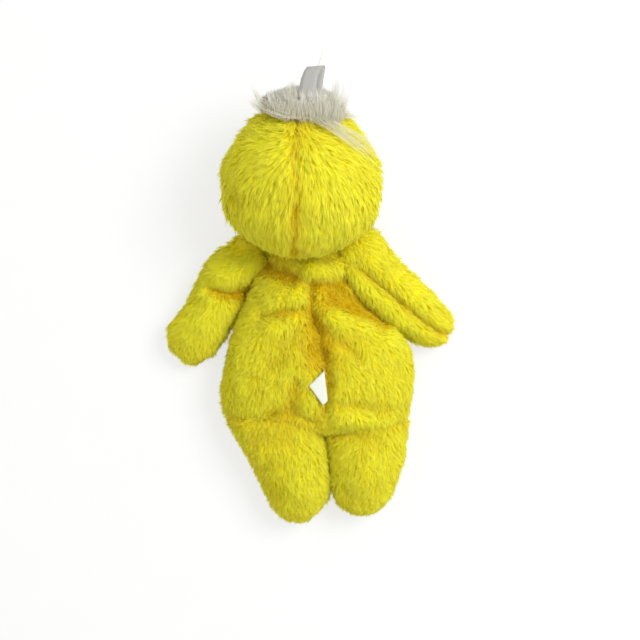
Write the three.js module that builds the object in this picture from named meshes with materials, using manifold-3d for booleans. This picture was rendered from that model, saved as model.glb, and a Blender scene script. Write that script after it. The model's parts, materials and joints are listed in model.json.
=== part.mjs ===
// A limp plush duck, laid on its front with its back up. Millimetres, +Z up, head towards +Y.
// Each soft member is a shell of plush panels round a stuffing, and the members are sewn
// together at flat seams, which are the places where the duck folds.
import * as THREE from 'three';
import { mergeVertices } from 'three/addons/utils/BufferGeometryUtils.js';
import Module from 'manifold-3d';

const wasm = await Module();
wasm.setup();

// Cloth and clearances
const plushThickness = 4;
const billClothThickness = 2;
const gap = 0.3;
const stuffingGap = 0.6;
const floorCut = 0.5;
const seamMargin = 6;
const overrun = 60;

// Torso, from its top edge at the neck down to its end at the hips
const torsoTopY = 22;
const torsoLength = 130;
const torsoWidth = 126;
const torsoDepth = 46;
const torsoHalfWidthShares = [0.238, 0.325, 0.256, 0.306, 0.425, 0.49, 0.502, 0.482, 0.447];
const torsoSwayShares = [0, 0.008, -0.004, -0.016, 0.044, 0.073, 0.069, 0.067, 0.09];
const torsoDepthShares = [0.6, 0.74, 0.8, 0.91, 1, 1, 0.96, 0.91, 0.83];
const bellySeamRise = 1;
const backSeamTopX = 3;
const backSeamLean = THREE.MathUtils.degToRad(5.6);

// Head, a ball that overhangs its short neck
const headWidth = 105;
const headLength = 102;
const headDepth = 80;
const headLift = 10;
const headCentreX = -1.8;
const headOverlap = 8;
const neckWidth = 50;
const neckHingeHeight = 20;
const neckRadius = 12;
const neckReach = 26;
const neckRise = 10;
const neckSeamDrop = 8;

// Wings: the left one hangs bent, the right one is held out straight. Each shoulder stands at
// a share of the torso's width, below its top edge, and each route starts from its shoulder
const wingDepth = 30;
const wingHingeRadius = 8;
const leftShoulder = { acrossShare: -0.3056, below: 16.5, turn: THREE.MathUtils.degToRad(202.5), width: 30 };
const rightShoulder = { acrossShare: 0.2897, below: 17, turn: THREE.MathUtils.degToRad(-34), width: 38 };
const leftWingRoute = [[12.5, 5.5], [0, 0], [-13.5, -12], [-22.5, -30.5], [-31, -48.5], [-37, -65.5]];
const rightWingRoute = [[-11.5, 7], [0, 0], [16, -13.8], [32, -25.8], [46.5, -37.5], [60, -48]];
const leftWingHalfWidth = 18.5;
const rightWingHalfWidth = 19.5;
const leftWingWidthShares = [0.76, 0.8, 0.94, 0.94, 1, 0.96];
const rightWingWidthShares = [0.94, 0.95, 0.97, 1, 0.82, 0.6];
const wingDepthShares = [0.6, 0.66, 0.9, 1, 0.96, 0.8];

// Legs, side by side at a slit
const leftLegLength = 64;
const rightLegLength = 60;
const legDepth = 38;
const legHingeRadius = 9;
const hipHingeHeight = 18;
const legRootAbove = 8;
const leftLegHalfWidth = 32;
const rightLegHalfWidth = 27.5;
const leftLegWidthShares = [1, 0.97, 0.9, 0.82, 0.72, 0.56];
const rightLegWidthShares = [1, 0.98, 0.9, 0.84, 0.76, 0.6];
const legDepthShares = [0.9, 0.92, 1, 1, 0.94, 0.8];
const slitTopX = 13;
const slitLean = THREE.MathUtils.degToRad(3);
const slitGap = 1.6;

// Fold angles that the seams leave free, measured from the seam's own axis
const seamAngles = {
  neck: { childTop: 88, childBottom: 75, parentTop: 50, parentBottom: 60 },
  shoulder: { childTop: 62, childBottom: 50, parentTop: 62, parentBottom: 50 },
  hip: { childTop: 59, childBottom: 44, parentTop: 59, parentBottom: 44 },
};

// White crest and ribbon loop
const crestWidth = 54;
const crestLength = 30;
const crestDepth = 52;
const crestCentreX = -1.5;
const crestSinkShare = 0.27;
const crestRise = 6;
const ribbonWidth = 13;
const ribbonThickness = 1;
const ribbonX = 5;
const ribbonLean = THREE.MathUtils.degToRad(-8);
const ribbonLength = 18;
const ribbonRise = 6;
const loopGap = 7;

// Bill, folded flat under the chin
const billWidth = 44;
const billLength = 38;
const billDepth = 17;
const billAboveMiddle = 1;
const billSeamHeight = 7;
const billWidthShares = [0.8, 0.88, 0.96, 1, 0.96];
const billDepthShares = [0.7, 0.85, 1, 1, 0.9];

// Safety eyes and their lock washers
const eyeRadius = 5.5;
const eyeDome = 4;
const eyeStemRadius = 2;
const eyeStemLength = 10;
const eyeSeatDepth = 1;
const eyeSpacing = 38;
const eyeAboveBill = 12;
const washerRadius = 7;
const washerThickness = 1.6;

// Care label, a bare tab of tape out of the back seam
const labelWidth = 19;
const labelLength = 20;
const labelThickness = 0.8;
const labelTurn = THREE.MathUtils.degToRad(-36);
const labelBesideSeam = 3.1;
const labelAboveHips = 23.5;
const labelTabDepth = 5;
const labelTabWidth = 12;

// Places that follow from the sizes
const torsoEndY = torsoTopY - torsoLength;
const neckSeamY = torsoTopY - neckSeamDrop;
const hipSeamY = torsoEndY + legHingeRadius;
const bellySeamHeight = wingDepth / 2 + bellySeamRise;
const headCentreY = neckSeamY + headLength / 2 - headOverlap;
const headCentreZ = headLift + headDepth / 2;
const billRootY = headCentreY + billAboveMiddle;
const headTopY = headCentreY + headLength / 2;
const crestCentreY = headTopY - crestSinkShare * crestLength;
const loopHeight = headCentreZ + crestRise + ribbonRise;
const labelY = hipSeamY + labelAboveHips;
const labelSeamX = backSeamTopX + (torsoTopY - labelY) * Math.tan(backSeamLean);
const labelHeight = torsoDepth - floorCut - gap;

// Facets
const ringPoints = 14;
const formSteps = 11;
const seamFacets = 16;
const ballSlices = 26;
const ballRings = 12;
const loopFacets = 8;
const domeSteps = 4;

const plush = () => new THREE.MeshStandardMaterial({ color: 0xe6dc2d, roughness: 0.95, metalness: 0 });
const whitePlush = () => new THREE.MeshStandardMaterial({ color: 0xe4e3d8, roughness: 0.9, metalness: 0 });
const satin = () => new THREE.MeshStandardMaterial({ color: 0xb4b3b4, roughness: 0.45, metalness: 0 });
const tape = () => new THREE.MeshStandardMaterial({ color: 0xeeeeea, roughness: 0.6, metalness: 0 });
const stuffing = () => new THREE.MeshStandardMaterial({ color: 0xf2f1ea, roughness: 1, metalness: 0 });
const billPlush = () => new THREE.MeshStandardMaterial({ color: 0xe88a1e, roughness: 0.9, metalness: 0 });
const eyePlastic = () => new THREE.MeshStandardMaterial({ color: 0x101010, roughness: 0.15, metalness: 0 });
const washerPlastic = () => new THREE.MeshStandardMaterial({ color: 0xdadada, roughness: 0.5, metalness: 0 });

// Closed geometry to solid and back
function solidOf(geometry) {
  const bare = new THREE.BufferGeometry();
  bare.setAttribute('position', geometry.getAttribute('position'));
  bare.setIndex(geometry.getIndex());
  const merged = mergeVertices(bare);
  return new wasm.Manifold(new wasm.Mesh({
    numProp: 3,
    vertProperties: new Float32Array(merged.getAttribute('position').array),
    triVerts: new Uint32Array(merged.getIndex().array),
  }));
}

function geometryOf(solid) {
  const mesh = solid.getMesh();
  const geometry = new THREE.BufferGeometry();
  geometry.setAttribute('position', new THREE.BufferAttribute(mesh.vertProperties, 3));
  geometry.setIndex(new THREE.BufferAttribute(mesh.triVerts, 1));
  geometry.computeVertexNormals();
  return geometry;
}

function box(low, high) {
  const size = high.clone().sub(low);
  const middle = high.clone().add(low).multiplyScalar(0.5);
  const geometry = new THREE.BoxGeometry(size.x, size.y, size.z);
  return solidOf(geometry.translate(middle.x, middle.y, middle.z));
}

function ellipsoid(centre, radii) {
  const geometry = new THREE.SphereGeometry(1, ballSlices, ballRings);
  geometry.rotateX(Math.PI / 2).scale(radii.x, radii.y, radii.z);
  return solidOf(geometry.translate(centre.x, centre.y, centre.z));
}

// A smooth value along a table of evenly spaced shares
function along(shares, t) {
  const points = shares.map((share, i) => new THREE.Vector2(i, share));
  return new THREE.SplineCurve(points).getPoint(t).y;
}

// How full a round end is at a distance from it
function roundEnd(distance, radius) {
  const inside = Math.max(0, 1 - distance / radius);
  return Math.sqrt(1 - inside * inside);
}

// Where an end's rings stand: close together at the ends, which are round
function ringShares(count) {
  return Array.from({ length: count }, (_, i) => (1 - Math.cos(Math.PI * (i + 1) / (count + 1))) / 2);
}

// A member that swells and tapers along a route in the floor's plane. Its sections are square
// to the route, or to one direction where that is given
function member({ route, halfWidth, widthShares, depth, depthShares, rootRound, tipRound, inset, facing }) {
  const spine = new THREE.CatmullRomCurve3(route.map(([x, y]) => new THREE.Vector3(x, y, 0)));
  const length = spine.getLength();
  const positions = [];
  const index = [];
  const up = new THREE.Vector3(0, 0, 1);
  const shares = ringShares(formSteps);
  const start = inset / length;
  const point = (t) => spine.getPointAt(start + t * (1 - 2 * start));
  const height = (t) => depth * along(depthShares, t) / 2;
  const poles = [0, 1].map((t) => point(t).setZ(height(t) - floorCut));
  positions.push(...poles[0].toArray());
  for (const t of shares) {
    const from = t * (length - 2 * inset);
    const round = roundEnd(from, rootRound) * roundEnd(length - 2 * inset - from, tipRound);
    const wide = (halfWidth * along(widthShares, t) - inset) * round;
    const tall = Math.max(height(t) - inset, gap) * round;
    const centre = point(t);
    const side = up.clone().cross(facing ?? spine.getTangentAt(start + t * (1 - 2 * start)));
    for (let k = 0; k < ringPoints; k++) {
      const a = 2 * Math.PI * k / ringPoints;
      const place = centre.clone().addScaledVector(side, wide * Math.cos(a));
      positions.push(place.x, place.y, height(t) - floorCut + tall * Math.sin(a));
    }
  }
  positions.push(...poles[1].toArray());
  const at = (ring, k) => 1 + ring * ringPoints + (k % ringPoints);
  const end = 1 + formSteps * ringPoints;
  for (let k = 0; k < ringPoints; k++) {
    index.push(0, at(0, k + 1), at(0, k));
    for (let ring = 0; ring < formSteps - 1; ring++) {
      index.push(at(ring, k), at(ring, k + 1), at(ring + 1, k + 1));
      index.push(at(ring, k), at(ring + 1, k + 1), at(ring + 1, k));
    }
    index.push(end, at(formSteps - 1, k), at(formSteps - 1, k + 1));
  }
  const geometry = new THREE.BufferGeometry();
  geometry.setAttribute('position', new THREE.Float32BufferAttribute(positions, 3));
  geometry.setIndex(index);
  return solidOf(geometry);
}

// A seam that folds: its middle, the way out of the parent, its width, round radius and angles
function seam(x, y, height, turn, width, radius, degrees) {
  const angles = Object.fromEntries(Object.entries(degrees)
    .map(([name, value]) => [name, THREE.MathUtils.degToRad(value)]));
  return { at: new THREE.Vector3(x, y, height), turn, width, radius, ...angles };
}

// Puts a prism, drawn in the plane across the seam, on the seam
function acrossSeam(fold, points, width) {
  const shape = new THREE.Shape(points.map(([u, w]) => new THREE.Vector2(u, w)));
  const geometry = new THREE.ExtrudeGeometry(shape, { depth: width, bevelEnabled: false });
  geometry.translate(0, 0, -width / 2).rotateX(Math.PI / 2).rotateZ(fold.turn);
  return solidOf(geometry.translate(fold.at.x, fold.at.y, fold.at.z));
}

function seamRound(fold, radius, width) {
  const geometry = new THREE.CylinderGeometry(radius, radius, width, seamFacets);
  geometry.rotateZ(fold.turn);
  return solidOf(geometry.translate(fold.at.x, fold.at.y, fold.at.z));
}

// Corner of a wedge whose two sides are both drawn in by the same inset
function wedgeCorner(top, bottom, inset) {
  const spread = Math.sin(top + bottom);
  return [inset * (Math.cos(bottom) + Math.cos(top)) / spread, inset * (Math.sin(top) - Math.sin(bottom)) / spread];
}

// What the child may fill: its wedge and, for the cloth, the round root in the seam, which
// is stitched flat and so holds no stuffing
function childRoom(fold, inset) {
  const [u, w] = wedgeCorner(fold.childTop, fold.childBottom, inset);
  const points = [
    [u, w],
    [u + overrun * Math.cos(fold.childBottom), w - overrun * Math.sin(fold.childBottom)],
    [u + 2 * overrun, -overrun],
    [u + 2 * overrun, overrun],
    [u + overrun * Math.cos(fold.childTop), w + overrun * Math.sin(fold.childTop)],
  ];
  const wide = 2 * fold.width + overrun;
  const wedge = acrossSeam(fold, points, wide);
  return inset > 0 ? wedge : wedge.add(seamRound(fold, fold.radius, wide));
}

// What the parent gives up: all outside its wedge, and the socket of the round root
function childTakes(fold, inset) {
  const [u, w] = wedgeCorner(fold.parentTop, fold.parentBottom, inset);
  const reach = fold.reach ?? overrun;
  const points = [
    [-u, w],
    [-u - reach * Math.cos(fold.parentBottom), w - reach * Math.sin(fold.parentBottom)],
    [reach, -reach],
    [reach, reach],
    [-u - reach * Math.cos(fold.parentTop), w + reach * Math.sin(fold.parentTop)],
  ];
  const wide = fold.width + seamMargin + 2 * inset;
  return acrossSeam(fold, points, wide).add(seamRound(fold, fold.radius + gap + inset, wide));
}

const far = 2 * Math.abs(torsoEndY) + overrun;
const aboveFloor = (inset) => box(new THREE.Vector3(-far, -far, inset), new THREE.Vector3(far, far, far));
const between = (low, high) => box(new THREE.Vector3(-far, -far, low), new THREE.Vector3(far, far, high));

// The upper and lower panel of a shell, which meet at a level seam
function levelPanels(shell, height) {
  return {
    upper: shell.intersect(between(height + gap / 2, far)),
    lower: shell.intersect(between(-far, height - gap / 2)),
  };
}

// Halves to the left and right of an upright seam that leans in the floor's plane
function sidePanels(shell, x, y, lean) {
  const half = (side) => {
    const geometry = new THREE.BoxGeometry(far, 2 * far, 2 * far);
    geometry.translate(side * (far / 2 + gap / 2), 0, 0).rotateZ(lean);
    return solidOf(geometry.translate(x, y, 0));
  };
  return { left: shell.intersect(half(-1)), right: shell.intersect(half(1)) };
}

function shoulderSeam({ acrossShare, below, turn, width }) {
  const x = acrossShare * torsoWidth;
  const fold = seam(x, torsoTopY - below, wingDepth / 2, turn, width, wingHingeRadius, seamAngles.shoulder);
  return { ...fold, reach: torsoWidth / 4 };
}

const neckSeam = seam(0, neckSeamY, neckHingeHeight, Math.PI / 2, neckWidth, neckRadius, seamAngles.neck);
const shoulders = { left: shoulderSeam(leftShoulder), right: shoulderSeam(rightShoulder) };
const hipSeam = seam(slitTopX, hipSeamY, hipHingeHeight, -Math.PI / 2, torsoWidth + gap, legHingeRadius, seamAngles.hip);

const downBody = new THREE.Vector3(0, -1, 0);

// The largest of a solid's separate bodies, without the slivers that a seam cuts off
function mainBody(solid) {
  return solid.decompose().reduce((main, body) => (body.volume() > main.volume() ? body : main));
}

// Torso
function torsoForm(inset) {
  const route = torsoSwayShares.map((share, i) => {
    const t = i / (torsoSwayShares.length - 1);
    return [share * torsoWidth, THREE.MathUtils.lerp(torsoTopY, torsoEndY, t)];
  });
  let form = member({
    route,
    halfWidth: torsoWidth,
    widthShares: torsoHalfWidthShares,
    depth: torsoDepth,
    depthShares: torsoDepthShares,
    rootRound: torsoDepth / 4,
    tipRound: torsoDepth / 8,
    inset,
    facing: downBody,
  }).intersect(aboveFloor(inset));
  for (const fold of [neckSeam, shoulders.left, shoulders.right, hipSeam]) {
    form = form.subtract(childTakes(fold, inset));
  }
  return mainBody(form);
}

// Head
const headCentre = new THREE.Vector3(headCentreX, headCentreY, headCentreZ);

function headBall(inset) {
  const radii = new THREE.Vector3(headWidth / 2 - inset, headLength / 2 - inset, headDepth / 2 - inset);
  return ellipsoid(headCentre, radii);
}

function headForm(inset) {
  const neck = new THREE.BoxGeometry(neckWidth - 2 * inset, 2 * neckReach, 2 * (neckRadius - inset));
  const place = neck.getAttribute('position');
  for (let i = 0; i < place.count; i++) {
    if (place.getY(i) > 0) place.setZ(i, place.getZ(i) + neckRise);
  }
  neck.translate(neckSeam.at.x, neckSeam.at.y, neckSeam.at.z);
  return solidOf(neck).intersect(childRoom(neckSeam, inset)).add(headBall(inset));
}

// Wings and legs
function wingForm(side, inset) {
  const left = side === 'left';
  const { at } = shoulders[side];
  const form = member({
    route: (left ? leftWingRoute : rightWingRoute).map(([x, y]) => [at.x + x, at.y + y]),
    halfWidth: left ? leftWingHalfWidth : rightWingHalfWidth,
    widthShares: left ? leftWingWidthShares : rightWingWidthShares,
    depth: wingDepth,
    depthShares: wingDepthShares,
    rootRound: wingHingeRadius,
    tipRound: left ? leftWingHalfWidth : rightWingHalfWidth * rightWingWidthShares.at(-1),
    inset,
  });
  return form.intersect(aboveFloor(inset)).intersect(childRoom(shoulders[side], inset));
}

function legForm(side, inset) {
  const left = side === 'left';
  const halfWidth = left ? leftLegHalfWidth : rightLegHalfWidth;
  const widthShares = left ? leftLegWidthShares : rightLegWidthShares;
  const tipY = hipSeamY - (left ? leftLegLength : rightLegLength);
  const hand = left ? -1 : 1;
  const rootY = hipSeamY + legRootAbove;
  const route = widthShares.map((share, i) => {
    const y = THREE.MathUtils.lerp(rootY, tipY, i / (widthShares.length - 1));
    const slit = slitTopX + (hipSeamY - y) * Math.tan(slitLean);
    return [slit + hand * (slitGap / 2 + halfWidth * share), y];
  });
  const form = member({
    route,
    halfWidth,
    widthShares,
    depth: legDepth,
    depthShares: legDepthShares,
    rootRound: legRootAbove / 4,
    tipRound: halfWidth * widthShares.at(-1),
    inset,
    facing: downBody,
  });
  return form.intersect(aboveFloor(inset)).intersect(childRoom(hipSeam, inset));
}

// Turns a shape that is made along +Y so that it stands on the head's face
function faceFrame(x, y) {
  const local = new THREE.Vector3(x - headCentre.x, y - headCentre.y, 0);
  const share = Math.hypot(2 * local.x / headWidth, 2 * local.y / headLength);
  local.z = -headDepth / 2 * Math.sqrt(1 - share * share);
  const normal = new THREE.Vector3(
    local.x / headWidth ** 2,
    local.y / headLength ** 2,
    local.z / headDepth ** 2,
  ).normalize();
  const turn = new THREE.Quaternion().setFromUnitVectors(new THREE.Vector3(0, 1, 0), normal);
  return new THREE.Matrix4().compose(local.add(headCentre), turn, new THREE.Vector3(1, 1, 1));
}

function lathe(profile, frame) {
  const points = profile.map(([r, h]) => new THREE.Vector2(r, h));
  return solidOf(new THREE.LatheGeometry(points, seamFacets).applyMatrix4(frame));
}

function disc(radius, low, high, frame) {
  return lathe([[0, low], [radius, low], [radius, high], [0, high]], frame);
}

const eyeY = billRootY + eyeAboveBill;
const eyeFrames = {
  left: faceFrame(headCentreX - eyeSpacing / 2, eyeY),
  right: faceFrame(headCentreX + eyeSpacing / 2, eyeY),
};

function eyeSolid(frame) {
  const dome = Array.from({ length: domeSteps + 1 }, (_, i) => {
    const a = i / domeSteps * Math.PI / 2;
    return [eyeRadius * Math.cos(a), eyeDome * Math.sin(a) - eyeSeatDepth];
  });
  dome[dome.length - 1][0] = 0;
  const stemEnd = -eyeSeatDepth - eyeStemLength;
  const profile = [[0, stemEnd], [eyeStemRadius, stemEnd], [eyeStemRadius, -eyeSeatDepth], ...dome];
  return lathe(profile, frame);
}

// The washer lies just inside the cloth, round the stem
const washerTop = -plushThickness - eyeSeatDepth - gap;
function washerSolid(frame) {
  const bore = eyeStemRadius + gap;
  const low = washerTop - washerThickness;
  return lathe([[bore, low], [washerRadius, low], [washerRadius, washerTop], [bore, washerTop], [bore, low]], frame);
}

function eyeRoom(frame) {
  const stem = disc(eyeStemRadius + gap, -eyeSeatDepth - eyeStemLength - gap, eyeDome, frame);
  const seat = disc(eyeRadius + gap, -eyeSeatDepth - gap, eyeDome, frame);
  const washer = disc(washerRadius + gap, washerTop - washerThickness - gap, -plushThickness, frame);
  return { cloth: stem.add(seat), filling: stem.add(washer) };
}

// Bill
function billForm(inset) {
  const route = billWidthShares.map((share, i) => {
    const t = i / (billWidthShares.length - 1);
    return [headCentreX, billRootY - t * billLength];
  });
  return member({
    route,
    halfWidth: billWidth / 2,
    widthShares: billWidthShares,
    depth: billDepth,
    depthShares: billDepthShares,
    rootRound: billDepth / 4,
    tipRound: billWidth / 3,
    inset,
  }).intersect(aboveFloor(inset)).subtract(headBall(-gap - inset));
}

// Crest and ribbon loop
function ribbonFrame() {
  const place = new THREE.Matrix4().makeTranslation(ribbonX, headTopY, loopHeight);
  return place.multiply(new THREE.Matrix4().makeRotationZ(ribbonLean));
}

// A strip that goes up, turns over and comes down, seen from its edge
function loopSolid(grow) {
  const outer = loopGap / 2 + ribbonThickness + grow;
  const inner = loopGap / 2 - grow;
  const turnY = ribbonLength - loopGap / 2 - ribbonThickness;
  const shape = new THREE.Shape();
  shape.moveTo(outer, -grow);
  shape.lineTo(outer, turnY);
  shape.absarc(0, turnY, outer, 0, Math.PI, false);
  shape.lineTo(-outer, -grow);
  shape.lineTo(-inner, -grow);
  shape.lineTo(-inner, turnY);
  shape.absarc(0, turnY, inner, Math.PI, 0, true);
  shape.lineTo(inner, -grow);
  const width = ribbonWidth + 2 * grow;
  const geometry = new THREE.ExtrudeGeometry(shape, { depth: width, bevelEnabled: false, curveSegments: loopFacets });
  geometry.translate(0, 0, -width / 2).rotateY(Math.PI / 2).applyMatrix4(ribbonFrame());
  return solidOf(geometry);
}

function crestSolid() {
  const centre = new THREE.Vector3(crestCentreX, crestCentreY, headCentreZ + crestRise);
  const radii = new THREE.Vector3(crestWidth / 2, crestLength / 2, crestDepth / 2);
  return ellipsoid(centre, radii).subtract(headBall(-gap)).subtract(loopSolid(gap));
}

// Care label: a flat tab on the back, and the edge of it that is caught in the seam
function labelSolid(grow) {
  const plate = new THREE.BoxGeometry(labelWidth + 2 * grow, labelLength + 2 * grow, labelThickness + 2 * grow);
  plate.rotateZ(labelTurn).translate(labelSeamX - labelBesideSeam, labelY, labelHeight);
  const tab = new THREE.BoxGeometry(labelThickness + 2 * grow, labelTabWidth + 2 * grow, labelTabDepth + 2 * grow);
  tab.rotateZ(backSeamLean).translate(labelSeamX, labelY, labelHeight - labelTabDepth / 2);
  return solidOf(plate).add(solidOf(tab));
}

// The parts, member by member
const duck = new THREE.Group();

function addPiece(name, solid, material) {
  const piece = new THREE.Mesh(geometryOf(solid), material);
  piece.name = name;
  duck.add(piece);
}

function shellOf(form, thickness) {
  return form(0).subtract(form(thickness));
}

const headFilling = headForm(plushThickness + stuffingGap);
const eyeRooms = Object.values(eyeFrames).map(eyeRoom);
let headShell = shellOf(headForm, plushThickness);
let headCore = headFilling;
for (const room of eyeRooms) {
  headShell = headShell.subtract(room.cloth);
  headCore = headCore.subtract(room.filling);
}
const headPanels = sidePanels(headShell, headCentreX, headCentreY, 0);
addPiece('head_panel_left', headPanels.left, plush());
addPiece('head_panel_right', headPanels.right, plush());
addPiece('head_stuffing', headCore, stuffing());
for (const [side, frame] of Object.entries(eyeFrames)) {
  addPiece(`eye_${side}`, eyeSolid(frame), eyePlastic());
  addPiece(`eye_washer_${side}`, washerSolid(frame), washerPlastic());
}

const billPanels = levelPanels(shellOf(billForm, billClothThickness), billSeamHeight);
addPiece('bill_under_panel', billPanels.upper, billPlush());
addPiece('bill_top_panel', billPanels.lower, billPlush());
addPiece('bill_stuffing', billForm(billClothThickness + stuffingGap), stuffing());

addPiece('crest_patch', crestSolid(), whitePlush());
addPiece('hang_loop', loopSolid(0), satin());

const torsoShell = levelPanels(shellOf(torsoForm, plushThickness), bellySeamHeight);
const labelRoom = labelSolid(gap);
const backPanels = sidePanels(torsoShell.upper.subtract(labelRoom), backSeamTopX, torsoTopY, backSeamLean);
addPiece('torso_back_left', backPanels.left, plush());
addPiece('torso_back_right', backPanels.right, plush());
addPiece('torso_belly', torsoShell.lower, plush());
addPiece('torso_stuffing', torsoForm(plushThickness + stuffingGap).subtract(labelRoom), stuffing());
addPiece('care_label', labelSolid(0), tape());

for (const side of ['left', 'right']) {
  const wing = levelPanels(shellOf((inset) => wingForm(side, inset), plushThickness), wingDepth / 2);
  addPiece(`wing_${side}_back`, wing.upper, plush());
  addPiece(`wing_${side}_front`, wing.lower, plush());
  addPiece(`wing_${side}_stuffing`, wingForm(side, plushThickness + stuffingGap), stuffing());
  const leg = levelPanels(shellOf((inset) => legForm(side, inset), plushThickness), hipHingeHeight);
  addPiece(`leg_${side}_back`, leg.upper, plush());
  addPiece(`leg_${side}_front`, leg.lower, plush());
  addPiece(`leg_${side}_stuffing`, legForm(side, plushThickness + stuffingGap), stuffing());
}

// The origin is under the middle of the whole duck, on the surface that it lies on
const extent = new THREE.Box3().setFromObject(duck);
const middle = extent.getCenter(new THREE.Vector3());
duck.position.set(-middle.x, -middle.y, -extent.min.z);

export default duck;
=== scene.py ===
# %% [markdown]
# # A plush duck, lying on its front
# The real object is a small stuffed duck of long-piled yellow plush. It lies face down, so its
# back, the back of its round head, a white crest and a ribbon loop are what is seen. The packed
# CAD model is loaded first: it fixes the place of every part and joint, and the looks are built
# around it in metres.

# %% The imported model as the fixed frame
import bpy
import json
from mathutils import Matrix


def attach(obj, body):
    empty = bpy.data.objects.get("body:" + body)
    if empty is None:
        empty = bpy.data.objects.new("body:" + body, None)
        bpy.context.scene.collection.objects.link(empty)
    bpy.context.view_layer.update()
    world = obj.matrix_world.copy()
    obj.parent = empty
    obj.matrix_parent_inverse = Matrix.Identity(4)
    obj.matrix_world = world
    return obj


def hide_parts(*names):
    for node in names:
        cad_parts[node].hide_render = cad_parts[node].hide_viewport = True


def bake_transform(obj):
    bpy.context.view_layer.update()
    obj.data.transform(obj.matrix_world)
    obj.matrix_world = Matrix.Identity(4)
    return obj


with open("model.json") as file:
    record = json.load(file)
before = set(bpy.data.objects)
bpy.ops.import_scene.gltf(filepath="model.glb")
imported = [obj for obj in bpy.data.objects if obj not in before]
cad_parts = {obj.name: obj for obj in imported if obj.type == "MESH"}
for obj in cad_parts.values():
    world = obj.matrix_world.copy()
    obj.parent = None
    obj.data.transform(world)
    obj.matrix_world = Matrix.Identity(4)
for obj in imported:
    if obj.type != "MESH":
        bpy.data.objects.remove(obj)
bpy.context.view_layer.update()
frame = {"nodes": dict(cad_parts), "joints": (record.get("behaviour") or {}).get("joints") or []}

import json
import math

import bmesh
import bpy
import numpy as np
from mathutils import Matrix, Vector, noise
from mathutils.bvhtree import BVHTree

# %% [markdown]
# ## Lengths and places
# The forms are written in millimetres, in the frame that the CAD source draws them in. One
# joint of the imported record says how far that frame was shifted, so nothing is fitted by eye.
# The photograph was taken from straight above. A pixel is 0.65 mm at the height of the folded
# limbs, and less on what is nearer to the camera, so a pixel is turned into a place with the
# height it lies at.

# %% Millimetres, the shift of the frame, and pixels
MM = 0.001
PIXEL, PIXEL_HEIGHT = 0.65, 20
PHOTO_PIXELS = 640
CAMERA_HEIGHT = 900
UNDER_CAMERA = (10.4, -31.525)
NECK_DRAWN = (0, 14, 20)

joints = {joint["name"]: joint for joint in frame["joints"]}
shift = np.array(joints["neck_nod"]["pos_m"]) / MM - np.array(NECK_DRAWN)
shift[2] = 0


def on_photo(pixels, height):
    """The drawn places, in mm, of pixels of the photograph that lie at a height."""
    scale = PIXEL * (CAMERA_HEIGHT - height) / (CAMERA_HEIGHT - PIXEL_HEIGHT)
    return (np.array(pixels, float) - PHOTO_PIXELS / 2) * (scale, -scale) + UNDER_CAMERA


def in_frame(drawn):
    """Drawn places in mm as points of the frame, in metres."""
    return (drawn + shift) * MM


def as_drawn(spots):
    """Points of the frame, in metres, as drawn places in mm."""
    return spots / MM - shift


def framed(place):
    """One drawn place in mm as a vector of the frame, in metres."""
    return Vector(in_frame(np.array(place, float)))


def unit(vectors):
    """The vectors, each one long."""
    return vectors / np.maximum(np.linalg.norm(vectors, axis=-1, keepdims=True), 1e-12)


print("shift of the drawing, mm:", shift.round(3))

# %% [markdown]
# ## Colours and nodes
# Colours are written as they look on a screen, in sRGB hex, and turned linear once, because
# Blender's shaders reckon in linear light. One function adds a node with its settings and
# links. Another starts a material, and a third one gives it a colour that drifts slowly, as
# dye and pigment do.

# %% Colours, one node helper, and the start of a material


def linear(hex_colour):
    """An sRGB hex colour as Blender's linear colour."""
    shares = [int(hex_colour[i : i + 2], 16) / 255 for i in (1, 3, 5)]
    return [s / 12.92 if s <= 0.04045 else ((s + 0.055) / 1.055) ** 2.4 for s in shares] + [1]


def add_node(tree, kind, inputs=(), **settings):
    """Adds a shader node. inputs pairs a socket with a value or with another's output."""
    node = tree.nodes.new("ShaderNode" + kind)
    for name, value in settings.items():
        setattr(node, name, value)
    for socket, value in dict(inputs).items():
        if isinstance(value, bpy.types.NodeSocket):
            tree.links.new(value, node.inputs[socket])
        else:
            node.inputs[socket].default_value = value
    return node


def material(name, **shader):
    """A new material, its node tree and its Principled shader with plain values set."""
    made = bpy.data.materials.new(name)
    made.use_nodes = True
    principled = made.node_tree.nodes["Principled BSDF"]
    for socket, value in shader.items():
        principled.inputs[socket.replace("_", " ")].default_value = value
    return made, made.node_tree, principled


def drifting(name, dark, light, size, detail=2, **shader):
    """A material that drifts between two near shades, over clouds about size mm wide."""
    made, tree, principled = material(name, **shader)
    where = add_node(tree, "TexCoord").outputs["Object"]
    cloud = add_node(
        tree, "TexNoise", {"Vector": where, "Scale": 1 / (size * MM), "Detail": detail}
    )
    shades = {0: cloud.outputs[0], 6: linear(dark), 7: linear(light)}
    colour = add_node(tree, "Mix", shades, data_type="RGBA")
    tree.links.new(colour.outputs[2], principled.inputs["Base Color"])
    return made, tree, principled, where


def seen_through(tree, principled, colour, share):
    """Lets a share of the light through a fibre or thin cloth, in its own colour."""
    through = add_node(tree, "BsdfTranslucent", {"Color": colour})
    sides = {0: share, 1: principled.outputs[0], 2: through.outputs[0]}
    both = add_node(tree, "MixShader", sides)
    tree.links.new(both.outputs[0], tree.nodes["Material Output"].inputs["Surface"])


print("pure yellow in linear light:", linear("#FFFF00"))

# %% [markdown]
# ## Plush pile
# Plush is a knitted backing with a dense cut pile of acrylic or polyester fibre. A blade's
# root is painted deep golden, as painted shade of its neighbours, and its tip pale lemon, as
# painted light that passes through it. Each blade of pile carries a map: across it lies the
# tint of its tuft, and up it the way from root to tip. The material mixes four colours over
# that map, and its shaded pair is painted shade for creases. A power below one makes most of
# the pile pale, and one above one keeps the roots' colour long.

# %% Pile materials
TUFT_MAP = "OFBake"
FIBRE_LETS_THROUGH = 0.52


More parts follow.
